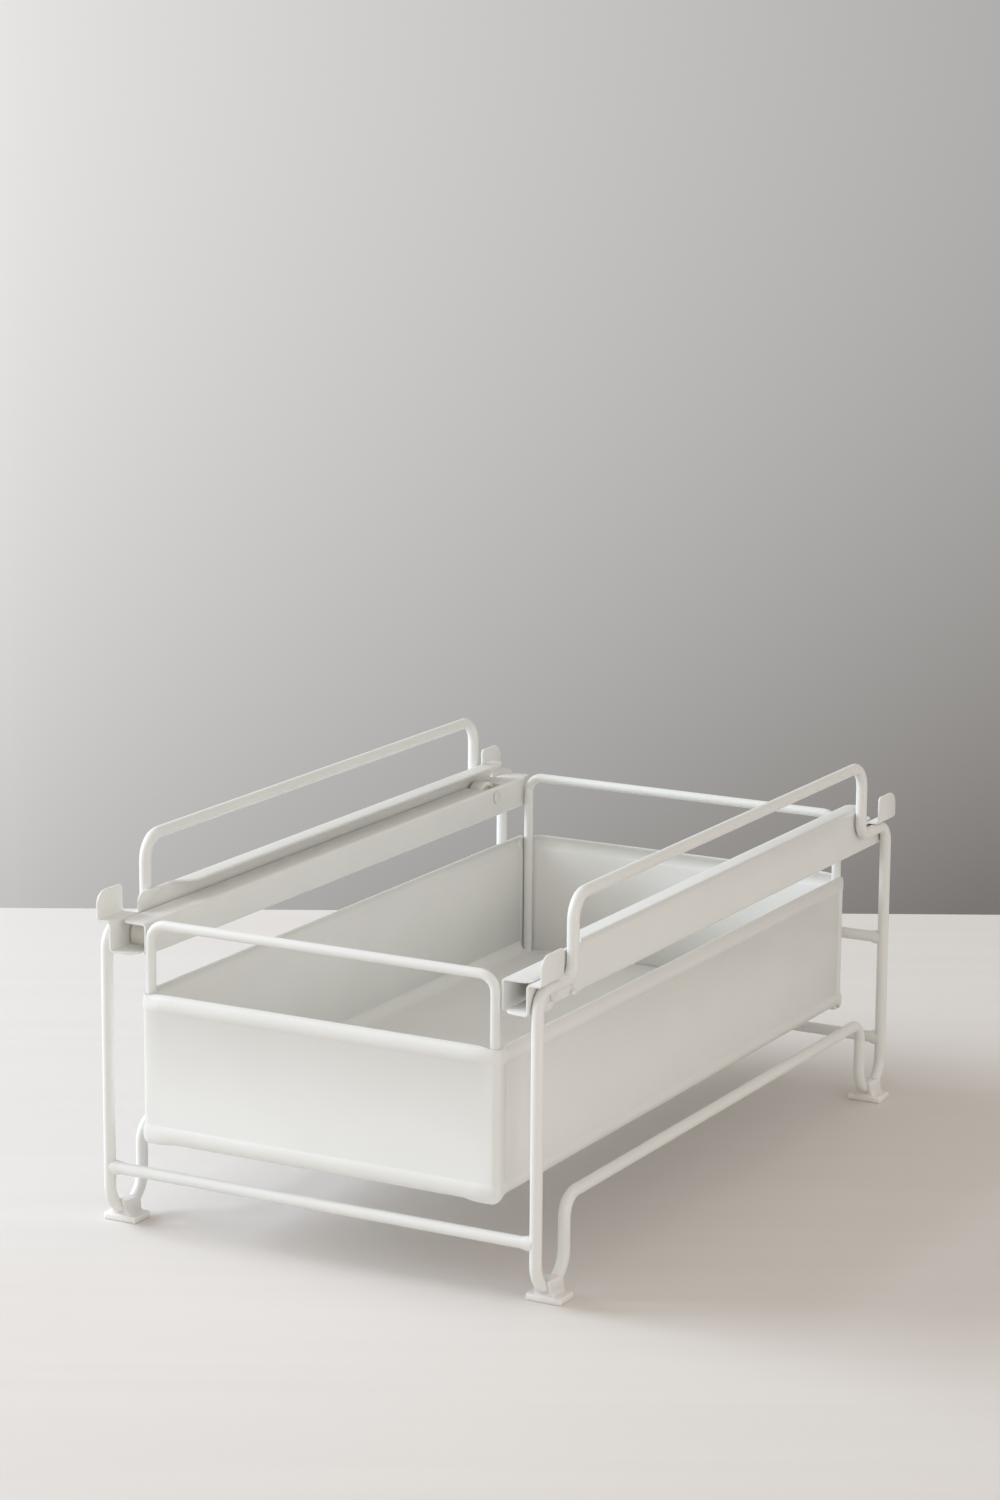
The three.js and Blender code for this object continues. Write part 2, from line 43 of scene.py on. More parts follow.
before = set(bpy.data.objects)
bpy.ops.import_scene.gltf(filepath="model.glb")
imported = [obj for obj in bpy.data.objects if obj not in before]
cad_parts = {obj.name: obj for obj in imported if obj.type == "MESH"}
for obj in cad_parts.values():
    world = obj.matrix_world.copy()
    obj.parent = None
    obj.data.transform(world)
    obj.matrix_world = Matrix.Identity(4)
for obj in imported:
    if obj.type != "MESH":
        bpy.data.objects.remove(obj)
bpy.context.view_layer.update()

MM = 0.001
TINY = 0.01 * MM
QUARTER = math.pi / 2
ENDS = ("front", "rear")
SENSOR = 36  # longer side of the camera's sensor, in millimetres
PICTURE_SHAPE = 1000 / 1500  # width of the picture over its height
EDGE_SHARE = 0.3  # how far the middle of a rounded edge lies inside its corner
LUMP_FLATNESS = 0.8  # height of a weld lump over its radius
LUMP_SINK = 0.2  # share of a weld lump's radius that lies in the sheet
NOISE_BAND = (0.3, 0.7)  # values between which a noise pattern mostly runs

# Share of a weld's reach from its end, and share of its swelling there
WELD_SWELLING = ((0, 1), (0.55, 1), (0.7, 0.75), (0.85, 0.25), (1, 0))

# Shares of a rivet head's radius and thickness along its dome
RIVET_DOME = ((0.45, 0), (0.8, 0.3), (0.97, 0.7), (1, 1))

# Millimetres before an end panel's corner, and the shares of the upper bead, the lower bead and the
# drip that are there
BEAD_FADING = (
    (12, 1, 1, 0.1),
    (9, 1, 1, 0.7),
    (6, 0.95, 0.97, 1),
    (4, 0.8, 0.9, 1),
    (2, 0.5, 0.75, 1),
    (0, 0.25, 0.55, 1),
)
CORNER_UPPER = 0.2  # share of the upper bead that is left round an end panel's corner
CORNER_LOWER = 0.5  # share of the lower bead that is left there
SIDE_LOWER = 0.81  # share of the lower bead where the panel meets the tray's side
CORNER_RISE = 0.4  # share of the step up to the tray's side that the corner takes


def number(description, value, **settings):
    """A number that a user can change."""
    return FloatProperty(description=description, default=value, **settings)


def count(description, value):
    """A whole number that a user can change."""
    return IntProperty(description=description, default=value, min=1)


def length(description, millimetres):
    """A length that a user can change, in metres."""
    return number(description, millimetres * MM, precision=5, unit="LENGTH")


def paint(description, red, green, blue):
    """A colour that a user can change, given as 8-bit screen values and kept as linear light."""
    screen = [value / 255 for value in (red, green, blue)]
    linear = [v / 12.92 if v <= 0.04045 else ((v + 0.055) / 1.055) ** 2.4 for v in screen]
    return FloatVectorProperty(description=description, default=linear, min=0, max=1, subtype="COLOR")


def location(description, *millimetres):
    """A point that a user can move, in metres."""
    metres = [value * MM for value in millimetres]
    return FloatVectorProperty(
        description=description, default=metres, subtype="TRANSLATION", unit="LENGTH"
    )


class WireSizes(bpy.types.PropertyGroup):
    """Sizes of the side frames, the cross bars and the hoops"""

    foot_width: length("From a leg to the inner upright of its foot loop", 23.8)
    low_rail: length("Height of the rail between the foot loops", 39.1)
    leg_top: length("Height of the bar on top of the legs", 127.6)
    guard_span: length("Between the uprights of the raised guard", 279)
    leg_bend: length("Bend radius at the top of a leg", 8)
    guard_foot_bend: length("Bend radius at the foot of a guard upright", 6)
    guard_bend: length("Bend radius at the top of a guard upright", 10)
    low_rail_bend: length("Bend radius at the ends of the low rail", 9)
    hoop_bend: length("Bend radius at the upper corners of a hoop", 7)
    hoop_end: length("Height of a hoop's domed ends", 0.84)
    weld_reach: length("Length of the swelling where a bar meets a leg", 3.2)
    weld_depth: length("How far a bar's weld runs into the leg", 1.8)
    weld_rise: length("How far a weld stands above its bar", 0.6)
    weld_spread: length("How far a weld stands out in front of its bar", 0.12)
    sides: count("Facets round a wire", 24)
    bend_steps: count("Facets along a bend", 10)


class RailSizes(bpy.types.PropertyGroup):
    """Sizes of the fixed rails and the drawer rails"""

    sheet: length("Thickness of the rails' sheet", 1)
    weld_gap: length("Between the rail and the wire that carries it", 0.3)
    fold: length("Radius of a fold at the middle of the sheet", 1.5)
    edge: length("Rounding of the coated sheet edges", 0.25)
    corner: length("Rounding of the flanges' corners", 4)
    tab_corner: length("Rounding of a stacking tab's outer corner", 6)
    tab_inner_corner: length("Rounding of a stacking tab's inner corner", 2)
    tab_span: length("Length of a shelf and its stacking tab", 18)
    shelf_top: length("Height of the shelves' upper face", 131.4)
    rail_top: length("Height of the top flange's upper face", 139.2)
    raised_front: length("Front end of the raised web", -150)
    raised_back: length("Rear end of the raised web", 150)
    flange_front: length("Front end of the top flange", -126)
    flange_ramp: length("Length of the slant at the top flange's front", 7)
    flange_width: length("Width of the top flange", 8.5)
    nose_setback: length("Of the floor flange's nose behind the web's end", 1.5)
    stop_place: length("Where the stop dent lies, from front to back", -136)
    stop_radius: length("Radius of the stop dent on the web", 5)
    stop_depth: length("How far the stop dent is pressed in", 3.2)
    dent_rise: length("Of the hollow's middle above the rail's underside", 2.6)
    dent_radius: length("Radius of the hollow on the web", 2.8)
    dent_depth: length("Depth of the hollow on the web", 1.9)
    weld_lump: length("Radius of a weld lump on the web", 1.3)
    stop_weld: length("From the stop's middle back to its weld lump", 3.5)
    stop_weld_reach: length("Half the length of that lump", 2.21)
    nose_weld: length("From the raised web forward to a weld lump", 3)
    nose_weld_reach: length("Half the length of that lump", 3.38)
    top_weld: length("From the raised web's front back to a weld lump", 15.5)
    top_weld_drop: length("From the top flange down to that lump", 1.82)
    web_corner: length("Rounding of a drawer rail's lower corners", 1.5)
    drawer_fold: length("Radius of a drawer rail's fold", 1.2)
    roller_margin: length("Between a rear roller and its slot", 0.6)
    slot_reach: length("How far the slot's cutter stands out of the flange", 1)


class DrawerSizes(bpy.types.PropertyGroup):
    """Sizes of the tray and its end panels"""

    sheet: length("Thickness of the drawer's sheet", 0.8)
    floor_lift: length("From the lower edge of the sides to the floor's underside", 2.8)
    fillet: length("Inner radius of the floor's turned-up edges", 5)
    bead_height: length("Height of a bead along an edge", 7)
    bead_bulge: length("How far a bead stands out", 1.6)
    low_bead_height: length("Height of the bead along a side's lower edge", 5.5)
    low_bead_bulge: length("How far a side's lower bead stands out", 1.3)
    lip: length("Height of the plain lip above a bead", 0.7)
    corner: length("Outer radius of a panel's upright corners", 3.2)
    panel_return: length("Straight length of a panel past its corner", 3)
    rim_dip: length("How far the rim drops round a panel's corners", 1.4)
    drip: length("How far the coat hangs below a panel's lower corners", 1)
    edge: length("Rounding of the coated sheet edges", 0.2)
    bead_steps: count("Facets over a bead", 12)
    corner_steps: count("Facets round a corner", 8)


class SmallPartSizes(bpy.types.PropertyGroup):
    """Sizes of the rollers, the rivets and the foot caps"""

    roller_edge: length("Rounding of a roller's tread edges", 0.8)
    roller_dish: length("Depth of the dish in a roller's side", 0.9)
    roller_rim: length("Width of the rim round a roller's dish", 1.6)
    roller_hub: length("Radius of a roller's hub", 2.85)
    shank: length("Diameter of a rivet's shank", 3)
    rivet_head: length("Thickness of a rivet's head", 0.8)
    shoulder: length("Diameter of the shoulder that spaces a rear roller", 6)
    cap_base: length("Thickness of a foot cap's base", 3)
    cap_base_length: length("Length of a foot cap's base", 11.4)
    cap_clip_top: length("Height of a foot cap's clip at its back", 9.2)
    cap_clip_width: length("Width of a foot cap's clip", 7.6)
    cap_clip_front: length("From the foot loop's middle to the clip's front", 8)
    cap_clip_back: length("From the foot loop's middle to the clip's back", 5.6)
    cap_clip_slant: length("How far the clip's top rises to its front", 1)
    cap_clip_undercut: length("How far the clip's foot lies behind its front", 3.6)
    cap_clip_round: length("Rounding of the clip's upper back edge", 3.4)
    cap_clip_sink: length("How deep the clip reaches into the base", 1.02)
    cap_saddle: length("Height of the flared saddle beside the clip", 5.4)
    cap_saddle_width: length("Width of the saddle's top", 7.296)
    cap_saddle_front: length("From the loop's middle to the saddle's front", 5.1)
    cap_saddle_back: length("From the loop's middle to the saddle's back", 4.896)
    cap_saddle_sink: length("How deep the saddle reaches into the base", 1.2)
    cap_flare: number("Spread of the saddle's foot", 1.5)
    cap_edge: length("Rounding of a foot cap's moulded edges", 0.6)
    cap_clearance: length("Between a foot loop and its cap", 0.1)
    round_steps: count("Facets round a turned part", 40)


class Finishes(bpy.types.PropertyGroup):
    """Colours and textures of the surfaces"""

    coat: paint("Main colour of the coated steel", 234, 234, 231)
    coat_shade: paint("Colour where the coat lies thinner", 232, 232, 229)
    coat_roughness: number("Middle roughness of the coat", 0.4)
    peel_scale: number("Bumps of orange peel in each metre", 900)
    peel_depth: length("Height of the orange peel", 0.007)
    plastic: paint("Colour of the milky foot caps", 238, 235, 232)
    nylon: paint("Colour of the rollers", 240, 238, 231)
    rivet: paint("Colour of the coated rivets", 230, 230, 226)


class StageLook(bpy.types.PropertyGroup):
    """Table, wall, light and camera"""

    table: paint("Colour of the painted table", 232, 227, 223)
    table_grain: paint("Colour of the faint grain in the table", 230, 225, 221)
    # The wall's brightest and darkest colours and its dimming across and down are painted light and
    # painted shade, glowing on the wall in the picture
    wall: paint("Wall colour where it is brightest, at the upper left", 231, 230, 229)
    wall_painted_shade: paint("Wall colour where it is darkest, at the lower right", 122, 118, 115)
    wall_bounce: paint("Wall colour in the light that it throws back", 196, 195, 193)
    fall_across: number("Share of the dimming from left to right", 0.6)
    fall_down: number("Share of the dimming from top to bottom", 0.41)
    bow_across: number("Power of the dimming from left to right", 0.75)
    bow_down: number("Power of the dimming from top to bottom", 2)
    room: paint("Colour of the light from all around", 255, 249, 241)
    room_strength: number("Light from all around", 0.635)
    window: paint("Colour of the soft light from the left", 230, 242, 255)
    window_power: number("Power of the soft light", 34, unit="POWER")
    window_size: length("Width and height of the soft light", 1100)
    card: paint("Colour of the weak light from the right", 255, 251, 247)
    card_power: number("Power of the weak light", 8, unit="POWER")
    card_size: length("Width and height of the weak light", 1400)
    window_place: location("Where the soft light hangs", -1550, -500, 900)
    card_place: location("Where the weak light stands", 1900, -900, 450)
    aim_height: length("Height above the table that the lights face", 60)
    camera_place: location("Where the camera stands", 803.4, -1487.8, 540.6)
    camera_turn: number("Turn to the left", 0.5, subtype="ANGLE")
    camera_tilt: number("Tilt downward", 0.209, subtype="ANGLE")
    camera_roll: number("Turn about the view", 0.007, subtype="ANGLE")
    camera_lens: number("Focal length", 96.46, unit="CAMERA")
    table_edge: length("From the camera to the table's far edge", 2127)
    table_depth: length("From front to back", 4000)
    table_width: length("From left to right", 7000)
    table_thickness: length("Of the table's top", 40)
    table_bevel: length("Rounding of the table's edges", 2)
    wall_gap: length("From the table's far edge to the wall", 2600)
    wall_width: length("Width of the wall", 14000)
    wall_height: length("Height of the wall", 8000)


# Modelling tools


def near(value, target):
    return abs(value - target) < TINY


def at(x=None, y=None, z=None, from_middle=None):
    """A test for points at some coordinates, or at a distance to the front or back of the middle."""

    def test(co):
        pairs = ((co.x, x), (co.y, y), (co.z, z), (abs(co.y), from_middle))
        return all(target is None or near(value, target) for value, target in pairs)

    return test


def select_all():
    bpy.ops.mesh.select_all(action="SELECT")


def open_all():
    """Open the active piece with everything selected."""
    bpy.ops.object.mode_set(mode="EDIT")
    select_all()


def start(name, add, scale=(1, 1, 1), **settings):
    """Add a primitive as a new piece with its place in its mesh, and open it with all selected."""
    bpy.ops.object.select_all(action="DESELECT")
    add(**settings)
    piece = bpy.context.object
    piece.name = name
    piece.data.name = name
    piece.scale = scale
    bpy.ops.object.transform_apply(location=True, rotation=True, scale=True)
    bpy.ops.object.mode_set(mode="EDIT")
    bpy.ops.mesh.select_mode(type="VERT")
    select_all()
    return piece


def start_plate(name, middle, size, turn=(0, 0, 0)):
    """Start a piece from a flat plate of a given size."""
    return start(
        name, bpy.ops.mesh.primitive_plane_add, size=1, location=middle, rotation=turn, scale=(*size, 1)
    )


def start_block(name, low, high):
    """Start a piece from a block between two corners."""
    low, high = Vector(low), Vector(high)
    return start(
        name, bpy.ops.mesh.primitive_cube_add, size=1, location=(low + high) / 2, scale=high - low
    )


def start_ring(name, point, direction, radius, sides):
    """Start a piece from an open ring that faces a direction."""
    turn = Vector(direction).to_track_quat("Z", "Y").to_euler()
    return start(
        name,
        bpy.ops.mesh.primitive_circle_add,
        vertices=sides,
        radius=radius,
        fill_type="NOTHING",
        location=point,
        rotation=turn,
    )


def start_chain(name, points):
    """Start a piece from a line of edges through points."""
    piece = start_plate(name, points[0], (MM, MM))
    bpy.ops.mesh.merge(type="CENTER")
    for here, there in zip(points, points[1:]):
        bpy.ops.mesh.extrude_vertices_move(TRANSFORM_OT_translate={"value": there - here})
    select_all()
    return piece


def pick(kind, test):
    """Select the vertices, or the edges between vertices, that pass a test on their place."""
    bpy.ops.mesh.select_mode(type=kind)
    bpy.ops.mesh.select_all(action="DESELECT")
    mesh = bmesh.from_edit_mesh(bpy.context.object.data)
    if kind == "VERT":
        found = [vertex for vertex in mesh.verts if test(vertex.co)]
    else:
        found = [edge for edge in mesh.edges if all(test(vertex.co) for vertex in edge.verts)]
    if not found:
        raise RuntimeError(f"nothing to pick on {bpy.context.object.name}")
    for element in found:
        element.select_set(True)
    mesh.select_flush(True)
    bmesh.update_edit_mesh(bpy.context.object.data)


def run(vector):
    """Extrude what is selected in a straight line."""
    bpy.ops.mesh.extrude_region_move(TRANSFORM_OT_translate={"value": vector})


def bend(angle, centre, axis, steps):
    """Extrude what is selected round an axis, by the right-hand rule."""
    bpy.ops.mesh.spin(steps=steps, angle=-angle, center=centre, axis=axis)


def shift(vector):
    bpy.ops.transform.translate(value=vector)


def resize(factors, centre):
    bpy.ops.transform.resize(value=factors, center_override=centre)


def slice_across(place):
    """Cut all faces with a plane that stands across Y."""
    select_all()
    bpy.ops.mesh.bisect(plane_co=(0, place, 0), plane_no=(0, 1, 0))


def round_corner(test, radius, steps=6):
    pick("VERT", test)
    bpy.ops.mesh.bevel(offset=radius, offset_type="OFFSET", segments=steps, affect="VERTICES")


def round_edges(radius):
    bpy.ops.mesh.bevel(offset=radius, segments=3, affect="EDGES")


def fold_edge(test, radius, steps=6):
    pick("EDGE", test)
    bpy.ops.mesh.bevel(offset=radius, offset_type="OFFSET", segments=steps, affect="EDGES")


def follow(points, radii, steps):
    """Extrude a ring along straight runs whose corners are bent to the given radii."""
    reached = points[0]
    for before, point, after, radius in zip(points, points[1:], points[2:], radii):
        arriving = (point - before).normalized()
        leaving = (after - point).normalized()
        turn = arriving.angle(leaving)
        setback = radius * math.tan(turn / 2)
        first = point - arriving * setback
        if (first - reached).length > TINY:
            run(first - reached)
        axis = arriving.cross(leaving).normalized()
        bend(turn, first + axis.cross(arriving) * radius, axis, steps)
        reached = point + leaving * setback
    run(points[-1] - reached)


def close_ring():
    bpy.ops.mesh.edge_face_add()


def dome(direction, height, centre, steps=4):
    """Close a ring with a low dome."""
    reached = Vector(centre)
    for step in range(1, steps):
        angle = QUARTER * step / steps
        place = Vector(centre) + Vector(direction) * height * math.sin(angle)
        run(place - reached)
        factor = math.cos(angle) / math.cos(QUARTER * (step - 1) / steps)
        resize((factor, factor, factor), place)
        reached = place
    close_ring()


def turned(name, profile, y, z, sides):
    """A round piece on an axis along X, from rings of (radius, place along X)."""
    radius, place = profile[0]
    piece = start_ring(name, (place, y, z), (1, 0, 0), radius, sides)
    close_ring()
    for next_radius, next_place in profile[1:]:
        run((next_place - place, 0, 0))
        factor = next_radius / radius
        resize((factor, factor, factor), (next_place, y, z))
        radius, place = next_radius, next_place
    shut(piece)
    return piece


def shut(piece):
    """Leave edit mode with doubled points merged and faces turned outward."""
    select_all()
    bpy.ops.mesh.remove_doubles(threshold=TINY / 5)
    bpy.ops.mesh.normals_make_consistent(inside=False)
    bpy.ops.object.mode_set(mode="OBJECT")
    return piece


def alone(piece):
    """Make a piece the only selected and active object."""
    bpy.ops.object.select_all(action="DESELECT")
    piece.select_set(True)
    bpy.context.view_layer.objects.active = piece


def apply_modifier(piece, kind, **settings):
    alone(piece)
    modifier = piece.modifiers.new(kind.title(), kind)
    for name, value in settings.items():
        setattr(modifier, name, value)
    bpy.ops.object.modifier_apply(modifier=modifier.name)


def thicken(piece, thickness):
    """Give a sheet its thickness, half to each side."""
    apply_modifier(piece, "SOLIDIFY", thickness=thickness, offset=0, use_even_offset=True)


def soften(piece, width, limit=50):
    """Round the sharp edges, as a coat of powder does."""
    apply_modifier(
        piece,
        "BEVEL",
        width=width,
        segments=2,
        limit_method="ANGLE",
        angle_limit=math.radians(limit),
        use_clamp_overlap=True,
    )


def finish_sheet(piece, sizes):
    """Give a folded sheet its thickness and its softened edges."""
    shut(piece)
    thicken(piece, sizes.sheet)
    soften(piece, sizes.edge)


def combine(piece, tool, operation):
    """Join a tool to a piece or cut it away, and remove the tool."""
    apply_modifier(piece, "BOOLEAN", object=tool, operation=operation, solver="EXACT")
    bpy.data.objects.remove(tool)


def gather(piece, *others):
    """Make other pieces part of one."""
    alone(piece)
    for other in others:
        other.select_set(True)
    bpy.ops.object.join()


def mirrored(piece, name):
    """A left-hand copy of a right-hand piece, with its own mesh."""
    alone(piece)
    bpy.ops.object.duplicate(linked=False)
    copy = bpy.context.object
    copy.name = name
    copy.data.name = name
    open_all()
    resize((-1, 1, 1), (0, 0, 0))
    return shut(copy)


def dress(piece, slot, body, node, angle=40):
    """Finish a piece: smooth shading, material, and its place in the frame."""
    alone(piece)
    bpy.ops.object.shade_smooth_by_angle(angle=math.radians(angle))
    piece.data.materials.clear()
    piece.data.materials.append(finish(slot))
    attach(piece, body)
    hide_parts(node)


def dress_sides(right, slot, body, node):
    """Finish a right-hand piece and its mirror image, each on its own body and node."""
    left = mirrored(right, right.name.replace("right", "left"))
    dress(right, slot, body, node)
    dress(left, slot, body.replace("right", "left"), node.replace("right", "left"))


# Materials


def add_node(tree, kind, inputs=None, **settings):
    """Add a shader node with its settings, and with a value or a link for each input."""
    node = tree.nodes.new("ShaderNode" + kind)
    for name, value in settings.items():
        setattr(node, name, value)
    for name, value in (inputs or {}).items():
        if isinstance(value, bpy.types.NodeSocket):
            tree.links.new(value, node.inputs[name])
        else:
            node.inputs[name].default_value = value
    return node


def new_material(name):
    """A material with an empty node tree, its principled shader and its output."""
    material = bpy.data.materials.new(name)
    material.use_nodes = True
    tree = material.node_tree
    tree.nodes.clear()
    shader = add_node(tree, "BsdfPrincipled")
    output = add_node(tree, "OutputMaterial", {"Surface": shader.outputs["BSDF"]})
    return material, tree, shader, output


def noise(tree, scale, detail=2, stretch=(1, 1, 1)):
    """A noise pattern on the piece's own coordinates."""
    own = add_node(tree, "TexCoord").outputs["Object"]
    mapping = add_node(tree, "Mapping", {"Vector": own, "Scale": stretch})
    inputs = {"Vector": mapping.outputs["Vector"], "Scale": scale, "Detail": detail}
    return add_node(tree, "TexNoise", inputs).outputs["Fac"]


def shades(tree, factor, dark, light, low=0.35, high=0.65):
    """A colour that runs between two shades as a factor rises."""
    ramp = add_node(tree, "ValToRGB", {"Fac": factor})
    for element, position, colour in zip(ramp.color_ramp.elements, (low, high), (dark, light)):
        element.position = position
        element.color = (*colour, 1)
    return ramp.outputs["Color"]


def spread(tree, factor, first, last, low=0, high=1):
    """A number that runs from low to high as a factor runs from first to last."""
    inputs = {"Value": factor, "From Min": first, "From Max": last, "To Min": low, "To Max": high}
    return add_node(tree, "MapRange", inputs).outputs["Result"]


def uneven_finish(name, dark, light, cloud, gloss, roughness, bump, depth, detail=2, inputs=None):
    """A finish with two close shades, uneven gloss and fine bumps.

    The cloud, gloss and bump patterns are given by their scale, the gloss by its lowest and highest
    roughness, the bumps by their depth, and anything else by the shader's inputs.
    """
    material, tree, shader, _ = new_material(name)
    colour = shades(tree, noise(tree, cloud, detail), dark, light)
    tree.links.new(colour, shader.inputs["Base Color"])
    gloss_spread = spread(tree, noise(tree, gloss), *NOISE_BAND, *roughness)
    tree.links.new(gloss_spread, shader.inputs["Roughness"])
    bumps = add_node(tree, "Bump", {"Strength": 1, "Distance": depth, "Height": noise(tree, bump)})
    tree.links.new(bumps.outputs["Normal"], shader.inputs["Normal"])
    for input_name, value in (inputs or {}).items():
        shader.inputs[input_name].default_value = value
    return material


def dimmed(colour, share):
    return [value * share for value in colour]


def powder_coat(name, colours):
    """Off-white powder coat with a faint orange peel and slightly uneven gloss."""
    return uneven_finish(
        name,
        colours.coat_shade,
        colours.coat,
        cloud=26,
        detail=3,
        gloss=140,
        roughness=(colours.coat_roughness - 0.05, colours.coat_roughness + 0.05),
        bump=colours.peel_scale,
        depth=colours.peel_depth,
        inputs={"Specular IOR Level": 0.45},
    )


def milky_plastic(name, colours):
    """Milky moulded plastic that lets a little light through."""
    return uneven_finish(
        name,
        dimmed(colours.plastic, 0.96),
        colours.plastic,
        cloud=220,
        gloss=400,
        roughness=(0.3, 0.4),
        bump=1600,
        depth=0.008 * MM,
        inputs={
            "Subsurface Weight": 0.55,
            "Subsurface Radius": (1, 0.96, 0.92),
            "Subsurface Scale": 3 * MM,
        },
    )


def roller_nylon(name, colours):
    """Smooth white nylon with faint mould flow."""
    return uneven_finish(
        name,
        dimmed(colours.nylon, 0.95),
        colours.nylon,
        cloud=180,
        detail=3,
        gloss=500,
        roughness=(0.36, 0.48),
        bump=1400,
        depth=0.01 * MM,
        inputs={"Subsurface Weight": 0.15, "Subsurface Scale": 1.5 * MM},
    )


def rivet_coat(name, colours):
    """Coated rivet steel, a little greyer than the sheet."""
    return uneven_finish(
        name,
        dimmed(colours.rivet, 0.93),
        colours.rivet,
        cloud=300,
        gloss=600,
        roughness=(0.34, 0.46),
        bump=1500,
        depth=0.01 * MM,
        inputs={"Metallic": 0.15},
    )


SLOT_FINISHES = {
    "powder_coat": powder_coat,
    "milky_plastic": milky_plastic,
    "nylon": roller_nylon,
    "coated_rivet": rivet_coat,
}


def finish(slot):
    """The material of a slot, made when it is first asked for."""
    make = SLOT_FINISHES[slot]
    name = make.__name__ + "_finish"
    return bpy.data.materials.get(name) or make(name, bpy.context.scene.organizer_finishes)


def table_paint(look):
    """Pale painted table with a faint grain along its edge."""
    material, tree, shader, _ = new_material("table_paint")
    grain = noise(tree, 9, 4, stretch=(0.35, 6, 1))
    tree.links.new(shades(tree, grain, look.table_grain, look.table), shader.inputs["Base Color"])
    shader.inputs["Roughness"].default_value = 0.6
    shader.inputs["Specular IOR Level"].default_value = 0.25
    return material


def wall_colour_and_painted_light(look, half_width, low, high):
    """Grey wall that glows only in the picture, with painted light at the upper left that fades to
    painted shade at the lower right.
    """
    material, tree, shader, output = new_material("wall_colour_and_painted_light")
    shader.inputs["Base Color"].default_value = (*look.wall_bounce, 1)
    shader.inputs["Roughness"].default_value = 0.9
    # Painted light and shade: the glow dims across and down from the bright upper left, as light falls
    # off away from the window
    own = add_node(tree, "TexCoord").outputs["Object"]
    split = add_node(tree, "SeparateXYZ", {"Vector": own})
    across = spread(tree, split.outputs["X"], -half_width, half_width)
    down = spread(tree, split.outputs["Y"], high, low)
    ways = ((across, look.bow_across, look.fall_across), (down, look.bow_down, look.fall_down))
    falls = []
    for way, power, share in ways:
        curve = add_node(tree, "Math", {0: way, 1: power}, operation="POWER").outputs["Value"]
        falls.append(add_node(tree, "Math", {0: curve, 1: share}, operation="MULTIPLY").outputs["Value"])
    fall = add_node(tree, "Math", dict(enumerate(falls)), operation="ADD").outputs["Value"]
    # A mix node keeps its colours in inputs 6 and 7 and output 2
    colours = {"Factor": fall, 6: (*look.wall, 1), 7: (*look.wall_painted_shade, 1)}
    fade = add_node(tree, "Mix", colours, data_type="RGBA")
    glow = add_node(tree, "Emission", {"Color": fade.outputs[2]})
    rays = add_node(tree, "LightPath").outputs
    seen = rays["Is Camera Ray"]
    for other in ("Is Glossy Ray", "Is Transmission Ray"):
        either = add_node(tree, "Math", {0: seen, 1: rays[other]}, operation="MAXIMUM")
        seen = either.outputs["Value"]
    sources = {"Fac": seen, 1: shader.outputs["BSDF"], 2: glow.outputs["Emission"]}
    choose = add_node(tree, "MixShader", sources)
    tree.links.new(choose.outputs["Shader"], output.inputs["Surface"])
    return material


# Pieces


class PieceOperator:
    """What the operators share: each models its pieces from the scene's settings"""

    def execute(self, context):
        self.model(context.scene)
        return {"FINISHED"}


def side_wire(sizes, name):
    """The right-hand side frame: one wire bent into a closed loop."""
    low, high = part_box("right_side_frame")
    wire = high.x - low.x
    x = (low.x + high.x) / 2
    leg = high.y - wire / 2
    foot = leg - sizes.foot_width
    guard = sizes.guard_span / 2
    floor, top = low.z + wire / 2, high.z - wire / 2
    half = [
        (foot, sizes.low_rail, sizes.low_rail_bend),
        (foot, floor, sizes.foot_width / 2),
        (leg, floor, sizes.foot_width / 2),
        (leg, sizes.leg_top, sizes.leg_bend),
        (guard, sizes.leg_top, sizes.guard_foot_bend),
        (guard, top, sizes.guard_bend),
    ]
    loop = half + [(-y, z, radius) for y, z, radius in reversed(half)]
    middle = Vector((x, 0, sizes.low_rail))
    points = [middle, *(Vector((x, y, z)) for y, z, _ in loop), middle]
    piece = start_ring(name, middle, (0, 1, 0), wire / 2, sizes.sides)
    follow(points, [radius for _, _, radius in loop], sizes.bend_steps)
    return shut(piece)


class ORGANIZER_OT_side_frames(PieceOperator, bpy.types.Operator):
    """Bend the two side frames from wire"""

    bl_idname = "organizer.side_frames"
    bl_label = "Side frames"

    def model(self, scene):
        right = side_wire(scene.organizer_wire, "right_side_wire")
        dress_sides(right, "powder_coat", "frame", "right_side_frame")


def welded_bar(sizes, node, name):
    """A straight bar that swells into a flattened weld at both ends."""
    low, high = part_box(node)
    middle = (low + high) / 2
    radius = (high.z - low.z) / 2
    end, reach = high.x + sizes.weld_depth, sizes.weld_depth + sizes.weld_reach
    rings = [(end - reach * share, amount) for share, amount in WELD_SWELLING]
    rings += [(-place, amount) for place, amount in reversed(rings)]
    ring = Vector((end, middle.y, middle.z))
    piece = start_ring(name, ring, (1, 0, 0), radius, sizes.sides)
    close_ring()
    width = height = radius
    for place, amount in rings:
        run((place - ring.x, 0, 0))
        ring.x = place
        next_width, next_height = radius + amount * sizes.weld_spread, radius + amount * sizes.weld_rise
        resize((1, next_width / width, next_height / height), ring)
        width, height = next_width, next_height
    return shut(piece)


class ORGANIZER_OT_cross_bars(PieceOperator, bpy.types.Operator):
    """Weld the three cross bars between the legs"""

    bl_idname = "organizer.cross_bars"
    bl_label = "Cross bars"

    def model(self, scene):
        for node in ("front_cross_bar", "rear_lower_cross_bar", "rear_upper_cross_bar"):
            bar = welded_bar(scene.organizer_wire, node, node + "_welded")
            dress(bar, "powder_coat", "frame", node)


